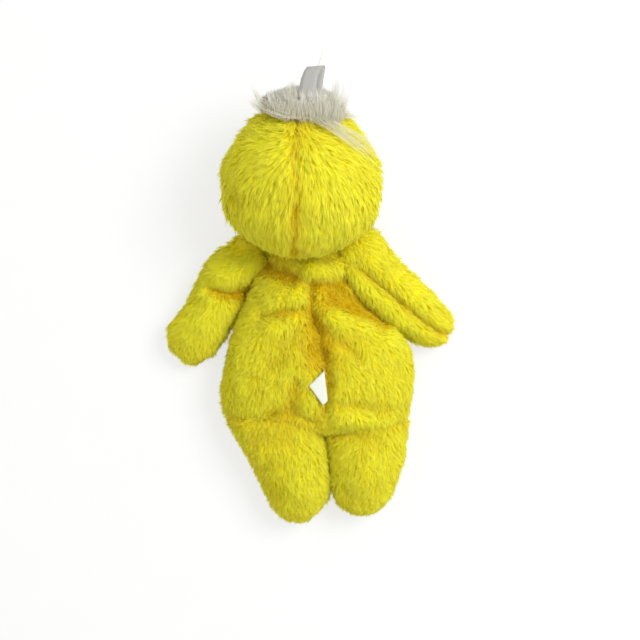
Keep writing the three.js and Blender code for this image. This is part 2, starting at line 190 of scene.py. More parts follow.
def pile_material(name, shaded, bright, tip_power, sheen, rough, tint_power=1.0):
    """Cut pile: shaded and bright are each (root colour, tip colour)."""
    made, tree, principled = material(
        name, Roughness=rough, Sheen_Weight=sheen, Sheen_Roughness=0.4,
        Sheen_Tint=linear(bright[1]), Specular_IOR_Level=0.1,
    )
    tuft = add_node(tree, "UVMap", uv_map=TUFT_MAP)
    split = add_node(tree, "SeparateXYZ", {0: tuft.outputs[0]})
    tint, rise = (
        add_node(tree, "Math", {0: split.outputs[k], 1: power}, operation="POWER").outputs[0]
        for k, power in enumerate((tint_power, tip_power))
    )
    # The shaded pair is painted shade and the bright pair the lit pile; up each, the root is
    # painted shade and the tip painted light
    shade, light = (
        add_node(tree, "Mix", {0: rise, 6: linear(root), 7: linear(tip)}, data_type="RGBA")
        for root, tip in (shaded, bright)
    )
    mixed = {0: tint, 6: shade.outputs[2], 7: light.outputs[2]}
    colour = add_node(tree, "Mix", mixed, data_type="RGBA").outputs[2]
    tree.links.new(colour, principled.inputs["Base Color"])
    seen_through(tree, principled, colour, FIBRE_LETS_THROUGH)
    return made


# Shaded pair, then bright pair: the shaded one is painted shade for creases and seams, and in each
# pair the root is painted shade and the tip painted light
yellow_pile = pile_material(
    "acrylic_plush_pile_cut", ("#EABC00", "#F5E000"), ("#FFFD00", "#FFFD70"),
    tip_power=1.4, sheen=0.04, rough=0.8, tint_power=0.5,
)
# The crest's fibre is finer and smoother, so it gleams a little more
white_pile = pile_material(
    "acrylic_long_pile_cut", ("#CFCBB4", "#E6E4D8"), ("#E2DFCE", "#FFFFFA"),
    tip_power=0.7, sheen=0.2, rough=0.6,
)
orange_pile = pile_material(
    "polyester_short_pile_cut", ("#D46400", "#F29018"), ("#F08412", "#FFB040"),
    tip_power=0.9, sheen=0.1, rough=0.75,
)
print("pile materials:", yellow_pile.name, white_pile.name, orange_pile.name)

# %% [markdown]
# The backing is a tricot knit, dyed with the pile, and dull. Loops half a millimetre apart
# would vanish in the render and are hidden by pile, so the bump is drawn at one millimetre,
# with a slow drift of the dye over it.

# %% Knitted backing
KNIT_PITCH, KNIT_BUMP = 1.0, 0.3
DYE_DRIFT = 14.0


def backing_material(name, dark, light):
    """Tricot backing seen at the roots of the pile."""
    made, tree, principled, where = drifting(
        name, dark, light, DYE_DRIFT, detail=3, Roughness=0.9, Sheen_Weight=0.2
    )
    knit = add_node(tree, "TexVoronoi", {"Vector": where, "Scale": 1 / (KNIT_PITCH * MM)})
    relief = {"Height": knit.outputs[0], "Strength": 0.5, "Distance": KNIT_BUMP * MM}
    bump = add_node(tree, "Bump", relief)
    tree.links.new(bump.outputs[0], principled.inputs["Normal"])
    return made


yellow_backing = backing_material("polyester_tricot_yellow_knitted", "#E8D200", "#EEDC00")
white_backing = backing_material("polyester_tricot_white_knitted", "#D5D2C2", "#E8E6DA")
orange_backing = backing_material("polyester_tricot_orange_knitted", "#D06A06", "#E88414")
print("backings:", yellow_backing.name, white_backing.name, orange_backing.name)

# %% [markdown]
# ## Building a stuffed form
# A limb of a soft toy is two pieces of plush sewn round their edges and stuffed. It could be
# sculpted freely, but it has to fill the room of its CAD solid, so it is lofted as that is:
# rings stand along the limb's line, swelling and tapering by shares, and are bridged.

# %% Rings along a line, bridged into a closed form
RING_POINTS, ROUTE_STATIONS = 28, 9
# The pile's room is taken mostly off the upper side; a ring never closes to nothing
INSET_ABOVE, INSET_BELOW = 1.6, 0.5
SLIMMEST = (0.4, 0.3)


def eased(shares, t):
    """A table of shares read at t from 0 to 1, with its corners rounded."""
    steps = np.linspace(0, 1, len(shares))
    reach = 0.5 / len(shares)
    near = [np.interp(np.clip(t + d, 0, 1), steps, shares) for d in (-reach, 0, reach)]
    return near[0] / 4 + near[1] / 2 + near[2] / 4


def rounded(distance, radius):
    """How full a round end is at a distance from it."""
    return math.sqrt(1 - max(0.0, 1 - distance / radius) ** 2)


def lofted(
    bm, route, half_width, widths, depth, depths, ends, inset, facing=None, rings=18, base=0
):
    """Adds a closed form to bm: widths and depths are shares, ends the radii of its two ends."""
    route = np.array(route, float)
    steps = np.r_[0, np.cumsum(np.linalg.norm(np.diff(route, axis=0), axis=1))]
    length = steps[-1]
    stations = np.linspace(0, length, ROUTE_STATIONS)
    line = [np.interp(stations, steps, row) for row in route.T]
    before = None
    for k in range(rings):
        t = (1 - math.cos(math.pi * (k + 0.5) / rings)) / 2
        here, ahead = ([eased(row, u) for row in line] for u in (t, t + 0.01))
        if facing is not None:
            turn = facing
        elif t < 0.99:
            turn = math.atan2(ahead[1] - here[1], ahead[0] - here[0])
        full = rounded(t * length, ends[0]) * rounded((1 - t) * length, ends[1])
        wide = max((half_width * eased(widths, t) - inset) * full, SLIMMEST[0])
        top = depth * eased(depths, t) - INSET_ABOVE * inset
        low = min(INSET_BELOW * inset, top / 4)
        tall = max((top - low) / 2 * full, SLIMMEST[1])
        ring = bmesh.ops.create_circle(bm, segments=RING_POINTS, radius=1)["verts"]
        bmesh.ops.scale(bm, vec=(wide * MM, tall * MM, 1), verts=ring)
        quarter = math.pi / 2
        upright = Matrix.Rotation(turn + quarter, 3, "Z") @ Matrix.Rotation(quarter, 3, "X")
        bmesh.ops.rotate(bm, matrix=upright, verts=ring)
        bmesh.ops.translate(bm, vec=framed((*here, base + (top + low) / 2)), verts=ring)
        rim = list(dict.fromkeys(edge for v in ring for edge in v.link_edges))
        if before is None:
            bmesh.ops.contextual_create(bm, geom=rim)
        else:
            bmesh.ops.bridge_loops(bm, edges=before + rim)
        before = rim
    bmesh.ops.contextual_create(bm, geom=before)


def ball(bm, centre, radii):
    """Adds an ellipsoid to bm."""
    made = bmesh.ops.create_uvsphere(bm, u_segments=40, v_segments=26, radius=1)["verts"]
    bmesh.ops.scale(bm, vec=[r * MM for r in radii], verts=made)
    bmesh.ops.translate(bm, vec=framed(centre), verts=made)


print("a round end of 12 mm, 3 mm in, is full by", round(rounded(3, 12), 3))

# %% A bmesh as an object, and its points as numbers


def stand(name, data):
    """A new object of the scene, at the origin."""
    made = bpy.data.objects.new(name, data)
    bpy.context.scene.collection.objects.link(made)
    return made


def as_piece(name, bm, finish):
    """The bmesh as a new piece, wearing a material."""
    bmesh.ops.recalc_face_normals(bm, faces=bm.faces)
    mesh = bpy.data.meshes.new(name)
    bm.to_mesh(mesh)
    bm.free()
    mesh.materials.append(finish)
    return stand(name, mesh)


def settle(piece):
    """Applies the piece's modifiers to its mesh."""
    graph = bpy.context.evaluated_depsgraph_get()
    mesh = bpy.data.meshes.new_from_object(piece.evaluated_get(graph))
    old, piece.data = piece.data, mesh
    piece.modifiers.clear()
    bpy.data.meshes.remove(old)
    mesh.name = piece.name
    mesh.shade_smooth()


def read(items, what):
    """Three numbers of each of a mesh's items."""
    found = np.empty(len(items) * 3, np.float32)
    items.foreach_get(what, found)
    return found.reshape(-1, 3).astype(float)


def places(piece):
    """The piece's vertices, in metres."""
    return read(piece.data.vertices, "co")


def outward(piece):
    """The normals at the piece's vertices."""
    return read(piece.data.vertex_normals, "vector")


def put(piece, moved):
    """Moves the piece's vertices."""
    piece.data.vertices.foreach_set("co", moved.astype(np.float32).ravel())
    piece.data.update()


# %% [markdown]
# ## Stuffing it
# A cover swells between its seams when fibre is pushed into it. That could be drawn by hand,
# but cloth simulation does it as the real fabric does: the form is remeshed evenly, its seams
# are pinned, and pressure blows the rest out for a moment. How far a point may move is capped,
# so that the piece stays in its room. One subdivision then makes it fine enough to fold.

# %% Remesh, blow up, subdivide
PRESSURE, CLOTH_MASS, STRETCH = 80.0, 0.02, 4.0
SIM_STEPS = 20


def stuffed(piece, seams, cap, smoothing=4, voxel=4.4):
    """Makes the piece one even cover, swollen between its seams by at most cap mm."""
    remesh = piece.modifiers.new("Even", "REMESH")
    remesh.mode, remesh.voxel_size = "VOXEL", voxel * MM
    smooth = piece.modifiers.new("Soft", "SMOOTH")
    smooth.factor, smooth.iterations = 0.5, smoothing
    settle(piece)
    start = places(piece)
    held = piece.vertex_groups.new(name="seams")
    held.add([int(i) for i in np.flatnonzero(seams(as_drawn(start)))], 1.0, "REPLACE")
    cloth = piece.modifiers.new("Cloth", "CLOTH").settings
    cloth.vertex_group_mass = "seams"
    cloth.use_pressure = True
    cloth.uniform_pressure_force = PRESSURE
    cloth.mass = CLOTH_MASS
    cloth.tension_stiffness = cloth.compression_stiffness = STRETCH
    cloth.shear_stiffness = STRETCH / 3
    cloth.effector_weights.gravity = 0
    for step in range(1, SIM_STEPS + 1):
        bpy.context.scene.frame_set(step)
    settle(piece)
    bpy.context.scene.frame_set(1)
    moved = places(piece) - start
    far = np.linalg.norm(moved, axis=1, keepdims=True)
    put(piece, start + moved * np.minimum(1, cap * MM / np.maximum(far, 1e-9)))
    print(piece.name, "swelled by", round(float(far.max()) / MM, 1), "mm, capped at", cap)
    finer = piece.modifiers.new("Fine", "SUBSURF")
    finer.levels = finer.render_levels = 1
    settle(piece)


# %% [markdown]
# Folds and seams are pressed into the finished cover. Each is a line over pixels of the
# photograph, with a height, a depth and a reach. Vertices on the upper side near the line
# sink, or rise where the depth is negative. How deep a place lies is kept, and painted shade
# makes the pile of a crease more golden by it. A fifth number paints such a shade where the
# photograph has it on a seam or a roll of the cloth.

# %% Pressing folds into a cover
PILE_UNDER = 1.9
DEEP = 6
# A fold fades on the flanks of a piece and towards its own two ends, and its shade is wider
FLANK_FADE, END_FADE, END_DEPTH = 2.5, 7, 0.15
SHADE_REACH = 1.3


def beside(spots, line):
    """How far spots lie from a line seen from above, and where along it from 0 to 1."""
    a, b = line[:-1], line[1:]
    ab = b - a
    lengths = np.linalg.norm(ab, axis=1)
    t = np.clip(((spots[:, None] - a) * ab).sum(2) / lengths**2, 0, 1)
    off = np.linalg.norm(spots[:, None] - (a + t[..., None] * ab), axis=2)
    nearest = off.argmin(1)
    rows = np.arange(len(spots))
    passed = np.r_[0, np.cumsum(lengths)][nearest] + t[rows, nearest] * lengths[nearest]
    return off[rows, nearest], passed / lengths.sum()


def pressed(piece, folds):
    """Presses folds into the piece: each is (pixels, height, depth, reach) and maybe a painted
    shade.
    """
    spots, up = places(piece), np.clip(outward(piece)[:, 2] * FLANK_FADE, 0, 1)
    seen = as_drawn(spots)[:, :2]
    sunk, shade = np.zeros(len(spots)), np.zeros(len(spots))
    for pixels, height, depth, reach, *darker in folds:
        off, along = beside(seen, on_photo(pixels, height))
        ends = np.clip(np.minimum(along, 1 - along) * END_FADE + END_DEPTH, 0, 1)
        sunk += depth * np.exp(-((off / reach) ** 2)) * ends * up
        shade += sum(darker) * np.exp(-((off / reach / SHADE_REACH) ** 2)) * ends * up
    spots[:, 2] -= sunk * MM
    # The pile it lies on holds the cover a little off the ground
    spots[:, 2] = np.hypot(np.maximum(spots[:, 2], 0), PILE_UNDER * MM)
    put(piece, spots)
    # How deep each place lies and the folds' shade are kept, as painted shade for the pile's tint
    kept = piece.data.attributes.new("sunk", "FLOAT", "POINT")
    kept.data.foreach_set("value", np.clip(sunk / DEEP + shade, -1, 1).astype(np.float32))
    print(piece.name, "pressed by", sunk.min().round(1), "to", sunk.max().round(1), "mm")


# %% [markdown]
# ## Head
# The head is a stuffed ball of two halves that meet in a seam down the middle of the back. It
# overhangs the neck, so seen from above its lower edge hides where it is sewn on. Pile stands
# proud of the backing, so the backing is smaller than the CAD head by the room it needs.

# %% Head cover
HEAD_CENTRE = (-1.4, 57.0, 50.0)
HEAD_RADII = (52.5, 51.0, 40.0)
HEAD_PILE_ROOM = 4.3
HEAD_SEAM = [(296, 112), (297, 130), (295, 160), (296, 190), (294, 225), (294, 262)]
# The photograph's head narrows above its middle and comes to a soft point at the bottom: how
# much wider it is, and where and over how far, as shares of its own radius
HEAD_WIDER = ((-0.075, 0.6, 0.32), (0.075, -0.52, 0.3))
EYES = ((-20.5, 69.9, 18.0), (17.0, 69.9, 18.0))
EYE_RADIUS, EYE_PULL, EYE_DIMPLE = 5.3, 4.6, 10

bm = bmesh.new()
ball(bm, HEAD_CENTRE, [r - HEAD_PILE_ROOM for r in HEAD_RADII])
head_cover = as_piece("head_cover", bm, yellow_backing)
stuffed(head_cover, lambda p: abs(p[:, 0] - HEAD_CENTRE[0]) < 3, cap=2.2)
head = as_drawn(places(head_cover))
up_head = (head[:, 1] - HEAD_CENTRE[1]) / HEAD_RADII[1]
wide = 1
for wider, at, reach in HEAD_WIDER:
    wide = wide + wider * np.exp(-(((up_head - at) / reach) ** 2))
head[:, 0] = HEAD_CENTRE[0] + (head[:, 0] - HEAD_CENTRE[0]) * wide
# The washers pull the cloth of the face against the backs of the eyes
for eye in EYES:
    off = np.linalg.norm(head[:, :2] - eye[:2], axis=1)
    head[:, 2] -= EYE_PULL * np.exp(-((off / EYE_DIMPLE) ** 2)) * (head[:, 2] < HEAD_CENTRE[2])
put(head_cover, in_frame(head))
pressed(
    head_cover,
    [
        # The fifth numbers paint shade along the seam
        (HEAD_SEAM[:4], 86, 1.3, 2.4, 0.35),
        (HEAD_SEAM[3:], 86, 2.6, 2.4, 0.5),
        ([(278, 130), (272, 160), (270, 190)], 84, -0.8, 9),
        ([(236, 190), (240, 200), (250, 204)], 70, 1.6, 4),
        ([(322, 150), (330, 180), (328, 220)], 84, -0.8, 10),
        ([(300, 128), (320, 130), (330, 137)], 76, 1.4, 5),
    ],
)
print("head cover:", len(head_cover.data.polygons), "faces")

# %% [markdown]
# ## Torso
# The torso is a loose bag, only half full, so it lies flat and falls in folds. A seam runs down
# the middle of the back and has sunk between the two halves. Below the head a roll of the neck
# shows, with a deep hollow beside the right wing, and rolls lie above the legs.

# %% Torso cover
TORSO_WIDTH, TORSO_DEPTH = 126, 46
TORSO_TOP, TORSO_STEP, TORSO_END = 22, 16.25, -107
TORSO_SWAY = [0, 0, 0, 0.03, 0.075, 0.085, 0.064, 0.06]
TORSO_END_SWAY = 0.088
TORSO_WIDTHS = [0.2, 0.27, 0.29, 0.385, 0.475, 0.512, 0.53, 0.51, 0.46]
TORSO_DEPTHS = [0.68, 0.77, 0.85, 0.93, 1, 1, 0.97, 0.92, 0.84]
TORSO_PILE_ROOM = 3.0
TORSO_EDGE = 16
FACING_DOWN = -math.pi / 2
BACK_SEAM = [
    (311, 276), (311, 292), (313, 314), (318, 335), (325, 362), (328, 380), (326, 400),
    (325, 424),
]

line = [(share * TORSO_WIDTH, TORSO_TOP - TORSO_STEP * k) for k, share in enumerate(TORSO_SWAY)]
line.append((TORSO_END_SWAY * TORSO_WIDTH, TORSO_END))
bm = bmesh.new()
lofted(
    bm, line, TORSO_WIDTH, TORSO_WIDTHS, TORSO_DEPTH, TORSO_DEPTHS,
    ends=(12, 11), inset=TORSO_PILE_ROOM, facing=FACING_DOWN, rings=26,
)
torso_cover = as_piece("torso_cover", bm, yellow_backing)


def torso_seams(p):
    """Where the torso's cover is sewn: down the back, and round its sides."""
    off, _ = beside(p[:, :2], on_photo(BACK_SEAM, 40))
    return (off < 3) & (p[:, 2] > TORSO_EDGE + 4) | (abs(p[:, 2] - TORSO_EDGE) < 2.5)


stuffed(torso_cover, torso_seams, cap=2.5)
# Under the neck the bag slants back, to leave the bill room when the head nods: by this
# share at the ground and not at all at this height, from this place up
SLANT, SLANT_HEIGHT, SLANT_FROM = 0.72, 25, -6
torso = as_drawn(places(torso_cover))
slant = SLANT * np.clip(1 - torso[:, 2] / SLANT_HEIGHT, 0, 1)
torso[:, 1] -= slant * np.maximum(torso[:, 1] - SLANT_FROM, 0)
put(torso_cover, in_frame(torso))
pressed(
    torso_cover,
    [
        (BACK_SEAM, 40, 5.5, 4.0),
        ([(313, 306), (318, 335), (325, 366)], 40, 3.5, 11),
        # The fifth numbers of these two rolls under the head paint shade
        ([(250, 243), (272, 252), (294, 263)], 38, -3, 3.5, 0.45),
        ([(301, 267), (326, 270), (352, 259)], 38, -3.5, 5, 0.4),
        ([(256, 259), (276, 267), (301, 281)], 38, 7.5, 5.5),
        ([(305, 283), (330, 284), (354, 275)], 38, 4.5, 4),
        ([(320, 293), (342, 299), (366, 310), (392, 328)], 36, 9.5, 8),
        ([(318, 308), (345, 319), (374, 331), (404, 345)], 40, -3.6, 6.5),
        ([(262, 302), (280, 295), (303, 298)], 40, -3.2, 5.5),
        ([(256, 319), (280, 312), (308, 307)], 40, 4.2, 3.2),
        ([(262, 330), (284, 323), (304, 318)], 40, -1.6, 5),
        ([(304, 346), (312, 358), (316, 372)], 40, 2.5, 6),
        ([(322, 324), (342, 342), (364, 362)], 40, 2.8, 5),
        ([(336, 316), (352, 330), (376, 344)], 40, 1.8, 4),
        ([(300, 318), (288, 342), (268, 372)], 40, 1.8, 7),
        ([(302, 376), (292, 392), (290, 410)], 40, 3.5, 5),
        ([(262, 413), (284, 411), (300, 414), (322, 424)], 38, 3.6, 4),
        ([(332, 404), (356, 405), (396, 411)], 38, 2.2, 5),
        ([(332, 417), (356, 420), (398, 426)], 36, -3.5, 6),
        ([(240, 340), (236, 372), (240, 400)], 34, -1.2, 9),
    ],
)
print("torso cover:", len(torso_cover.data.polygons), "faces")

# %% [markdown]
# ## Wings, legs and neck
# The four limbs are flat stuffed paddles. The left wing is bent at a fold, and the right one
# is held out, with a seam along it between an upper panel and a lower strip that ends in two
# lobes. Each limb starts inside the torso, where its own cover goes on unseen, so that a joint
# can bend there without a gap. Between head and torso is a short tube of plush, hidden by the
# head. It is made in the same way.

# %% Lines and shares of the limbs
LIMB_PILE_ROOM = 3.0
WING_EDGE, LEG_EDGE = 15, 18
limbs = {
    "wing_left": dict(
        route=[(266, 246), (244, 259), (227, 277), (217, 303), (199, 331), (174, 356)],
        half_width=20.5, depth=30, ends=(8, 18),
        widths=[0.84, 0.95, 0.99, 0.93, 0.98, 0.98],
        depths=[0.94, 0.98, 1, 1, 0.96, 0.8],
    ),
    "wing_right": dict(
        route=[(348, 236), (361, 260), (383, 286), (408, 307), (431, 325), (452, 338)],
        half_width=22, depth=31, ends=(8, 12),
        widths=[0.97, 0.96, 0.95, 0.98, 0.84, 0.62],
        depths=[1.06, 1.06, 1.04, 1.02, 0.92, 0.76],
    ),
    "leg_left": dict(
        route=[(270, 411), (280, 433), (288, 455), (295, 477), (299, 500), (296, 524)],
        half_width=32, depth=38, ends=(3, 20), facing=FACING_DOWN,
        widths=[1.04, 1.01, 0.92, 0.82, 0.68, 0.5],
        depths=[1.08, 1.06, 1.02, 1, 0.94, 0.8],
    ),
    "leg_right": dict(
        route=[(369, 411), (366, 432), (366, 453), (364, 474), (362, 495), (362, 517)],
        half_width=27.5, depth=38, ends=(3, 18), facing=FACING_DOWN,
        widths=[1.06, 1.08, 1.01, 0.92, 0.8, 0.58],
        depths=[0.93, 0.95, 1, 1, 0.94, 0.8],
    ),
}
for name, limb in limbs.items():
    limb["route"] = on_photo(limb["route"], LEG_EDGE if "leg" in name else WING_EDGE)
# The neck is hidden, so its line is drawn in mm
limbs["neck"] = dict(
    route=[(0, -6), (0, 8), (0, 22), (0, 36)],
    half_width=25, depth=34, ends=(6, 6), facing=FACING_DOWN,
    widths=[1, 1, 1, 1],
    depths=[0.92, 1, 1.1, 1.3],
)
limb_folds = {
    "wing_left": [
        # The fifth number of this elbow fold paints shade
        ([(262, 283), (246, 290), (228, 292), (206, 287)], 24, 7, 4.5, 0.3),
        ([(250, 272), (230, 278), (208, 276)], 24, -3, 7),
        ([(226, 268), (214, 284), (208, 300)], 27, -2, 8),
        ([(222, 292), (212, 310), (204, 330)], 27, -1.5, 8),
    ],
    "wing_right": [
        ([(352, 262), (372, 278), (390, 293), (414, 313), (436, 330), (456, 337)], 28, 5.0, 2.8),
        ([(346, 268), (366, 294), (392, 316), (420, 334)], 28, -2.5, 5),
        ([(392, 268), (414, 290), (434, 308)], 28, -1.5, 10),
        ([(398, 262), (404, 272), (402, 284)], 28, 1.6, 5),
    ],
    "leg_left": [
        ([(248, 440), (272, 437), (300, 442)], 34, 1.6, 8),
        ([(296, 446), (306, 470), (300, 500)], 34, -1.5, 9),
        ([(262, 462), (272, 486), (286, 506)], 32, 1.2, 5),
    ],
    "leg_right": [
        ([(330, 430), (354, 435), (382, 441)], 34, 2.2, 4),
        ([(366, 452), (370, 480), (366, 500)], 34, -1.2, 10),
        ([(344, 490), (362, 494), (384, 488)], 30, 1.2, 5),
    ],
    "neck": [(HEAD_SEAM, 40, 1.0, 3)],
}
print("limb widths, mm:", {name: 2 * limb["half_width"] for name, limb in limbs.items()})

# %% Limb covers
LIMB_CAP, NECK_CAP = 2.0, 1.0
# The notch between the right wing's lobes: where, which way in, how deep, how narrow and long
NOTCH_AT, NOTCH_INWARD = (452, 337), (-0.9, 0.45)
NOTCH_DEPTH, NOTCH_REACH, NOTCH_LENGTH = 4.0, 3.0, 9


def edge_seam(depth):
    """The seam round a flat limb, half way up it."""
    return lambda p: abs(p[:, 2] - depth * 0.45) < 2.4


def notched(piece):
    """Draws the end of the right wing in, so that it ends in two lobes."""
    spots = places(piece)
    inward = unit(np.array(NOTCH_INWARD, float))
    across = np.array([-inward[1], inward[0]])
    off = as_drawn(spots)[:, :2] - on_photo(NOTCH_AT, WING_EDGE)
    beyond = np.clip(1 - off @ inward / NOTCH_LENGTH, 0, 1)
    near = np.exp(-((off @ across / NOTCH_REACH) ** 2)) * beyond
    spots[:, :2] += (near * NOTCH_DEPTH * MM)[:, None] * inward
    put(piece, spots)


covers = {"head": head_cover, "torso": torso_cover}
for name, limb in limbs.items():
    bm = bmesh.new()
    lofted(bm, inset=LIMB_PILE_ROOM, **limb)
    covers[name] = as_piece(f"{name}_cover", bm, yellow_backing)
    cap = NECK_CAP if name == "neck" else LIMB_CAP
    stuffed(covers[name], edge_seam(limb["depth"]), cap=cap)
    if name == "wing_right":
        notched(covers[name])
    pressed(covers[name], limb_folds[name])
print("covers:", {name: len(piece.data.polygons) for name, piece in covers.items()})

# %% [markdown]
# ## Planting the pile
# Real pile is millions of fibres that lean the way the cloth was brushed and gather in small
# tufts. A hair system would show only in Blender's own render, so the pile is mesh: one flat
# blade, drawn to a point, is modelled with operators and copied along a bent path for each
# strand. Tufts are spread evenly over a cover, and each tuft's blades lean together at their
# tips. The way they lean follows strokes read from the photograph: a pixel, and a direction.

# %% One blade, and many of it along paths
GROUND_GAP = 0.2


def blade_pattern(parts):
    """A flat blade of some parts along, drawn to a point: its places and faces."""
    bm = bmesh.new()
    bmesh.ops.create_grid(bm, x_segments=1, y_segments=parts, size=0.5)
    tip = [v for v in bm.verts if v.co.y > 0.499]
    bmesh.ops.pointmerge(bm, verts=tip, merge_co=(0, 0.5, 0))
    bm.verts.index_update()
    across = np.array([2 * v.co.x for v in bm.verts])
    step = np.array([round((v.co.y + 0.5) * parts) for v in bm.verts])
    faces = [[v.index for v in f.verts] for f in bm.faces]
    bm.free()
    return across, step, faces


def blades(name, paths, sides, widths, shading, tints, finish):
    """A piece of many blades. paths is (blades, points, 3) in metres, widths per point."""
    count, points = paths.shape[:2]
    across, step, faces = blade_pattern(points - 1)
    corners = len(across)
    spots = paths[:, step] + sides[:, None] * (across * widths[step])[None, :, None]
    spots[..., 2] = np.maximum(spots[..., 2], GROUND_GAP * MM)
    loops = np.concatenate(faces)
    vertex = loops[None] + corners * np.arange(count)[:, None]
    first = np.r_[0, np.cumsum([len(face) for face in faces])[:-1]]
    starts = first[None] + len(loops) * np.arange(count)[:, None]
    mesh = bpy.data.meshes.new(name)
    mesh.vertices.add(count * corners)
    mesh.loops.add(vertex.size)
    mesh.polygons.add(starts.size)
    mesh.vertices.foreach_set("co", spots.astype(np.float32).ravel())
    mesh.loops.foreach_set("vertex_index", vertex.astype(np.int32).ravel())
    mesh.polygons.foreach_set("loop_start", starts.astype(np.int32).ravel())
    mesh.update(calc_edges=True)
    tuft = np.empty((*vertex.shape, 2), np.float32)
    tuft[..., 0] = np.clip(tints[:, None] + 0.012 * across[loops], 0.01, 0.99)
    tuft[..., 1] = 0.02 + 0.96 * step[loops] / (points - 1)
    mesh.uv_layers.new(name=TUFT_MAP).data.foreach_set("uv", tuft.ravel())
    mesh.shade_smooth()
    mesh.normals_split_custom_set_from_vertices(
        np.repeat(shading, corners, axis=0).astype(np.float32)
    )
    mesh.materials.append(finish)
    return stand(name, mesh)


print("blade of two parts:", blade_pattern(2)[2])

# %% Where tufts stand and how they lean
THROWS = 6
STROKE_BLUR = 4
# Pile grows back to its full length over this many mm from an eye, from this share
EYE_CLEARING, CLIPPED = 9, 0.22


def scattered(piece, gap, dice):
    """Even random spots on a piece about gap mm apart, with normals and how deep each lies."""
    mesh = piece.data
    mesh.calc_loop_triangles()
    corners = np.empty(len(mesh.loop_triangles) * 3, np.int32)
    mesh.loop_triangles.foreach_get("vertices", corners)
    corners = corners.reshape(-1, 3)
    where, normals = places(piece), outward(piece)
    sunk = np.zeros(len(where), np.float32)
    if "sunk" in mesh.attributes:
        mesh.attributes["sunk"].data.foreach_get("value", sunk)
    a, b, c = where[corners].transpose(1, 0, 2)
    area = np.linalg.norm(np.cross(b - a, c - a), axis=1) / 2
    # Several throws for each cell of the gap's size, of which the first to fall in it stays
    count = int(area.sum() / (gap * MM) ** 2 * THROWS)
    chosen = corners[dice.choice(len(corners), count, p=area / area.sum())]
    r, s = np.sqrt(dice.random(count)), dice.random(count)
    shares = np.stack([1 - r, r * (1 - s), r * s], 1)[..., None]
    spots = (where[chosen] * shares).sum(1)
    _, first = np.unique(np.floor(spots / (gap * MM)).astype(int), axis=0, return_index=True)
    found = (where[chosen], normals[chosen], sunk[chosen][..., None])
    spots, normals, sunk = ((x * shares).sum(1)[first] for x in found)
    return spots, unit(normals), sunk[:, 0]


def combed(spots, strokes, height):
    """The way pile leans at spots: the strokes near by, weighed by nearness."""
    at = on_photo([s[:2] for s in strokes], height)
    way = np.array([(s[2], -s[3]) for s in strokes])
    off = np.linalg.norm(as_drawn(spots)[:, None, :2] - at, axis=2)
    weight = 1 / (off**2 + STROKE_BLUR**2) ** 1.5
    return unit((weight[..., None] * way).sum(1))


def drift(spots, size, seed):
    """Smooth noise over spots, about size mm from crest to crest."""
    return np.array([noise.noise(Vector(p / (size * MM)) + Vector((seed, 0, 0))) for p in spots])


def clear_of_eyes(spots):
    """How long pile may be at spots: it is clipped short round the eyes, so that they show."""
    off = np.min([np.linalg.norm(as_drawn(spots) - eye, axis=1) for eye in EYES], axis=0)
    return np.clip((off - EYE_RADIUS) / EYE_CLEARING, CLIPPED, 1)


print("noise 9 mm apart:", drift(np.array([[0, 0, 0.002], [0.009, 0, 0.002]]), 9, 3).round(2))

# %% Tufts of pile on a cover
# How tufts differ: over a patch, from one tuft to the next, the patch's size in mm, a seed
TUFTS_DIFFER = {
    "swirl": (1.6, 0.35, 9, 3),
    "tilt": (14, 6, 7, 11),
    "length": (0.22, 0.1, 11, 5),
    "tint": (0.18, 0.08, 10, 7),
}
# How far a fold's depth and shade pull a tuft's tint to the shaded colours: painted shade
PAINTED_CREASE_SHADE = 0.85
LEAN_DOWN, LEAN_CHANCE = -0.25, 0.02
# A tuft's radius as a share of the gap, and how deep its roots start in the backing, in mm
TUFT_RADIUS, ROOT_DEPTH = 0.72, 0.4
# By how much blades differ in length, in the way they face and in tint
LENGTH_CHANCE, FACING_CHANCE, TINT_CHANCE = 0.16, 0.45, 0.07
# Blades gather by at least this share, and are lit a little as strips and as round tufts
GATHER_LEAST, GATHER_CHANCE = 0.55, 0.45
LIT_AS_STRIP, LIT_AS_TUFT = 0.25, 0.4
BLADE_TAPER = np.array([0.5, 0.42, 0])


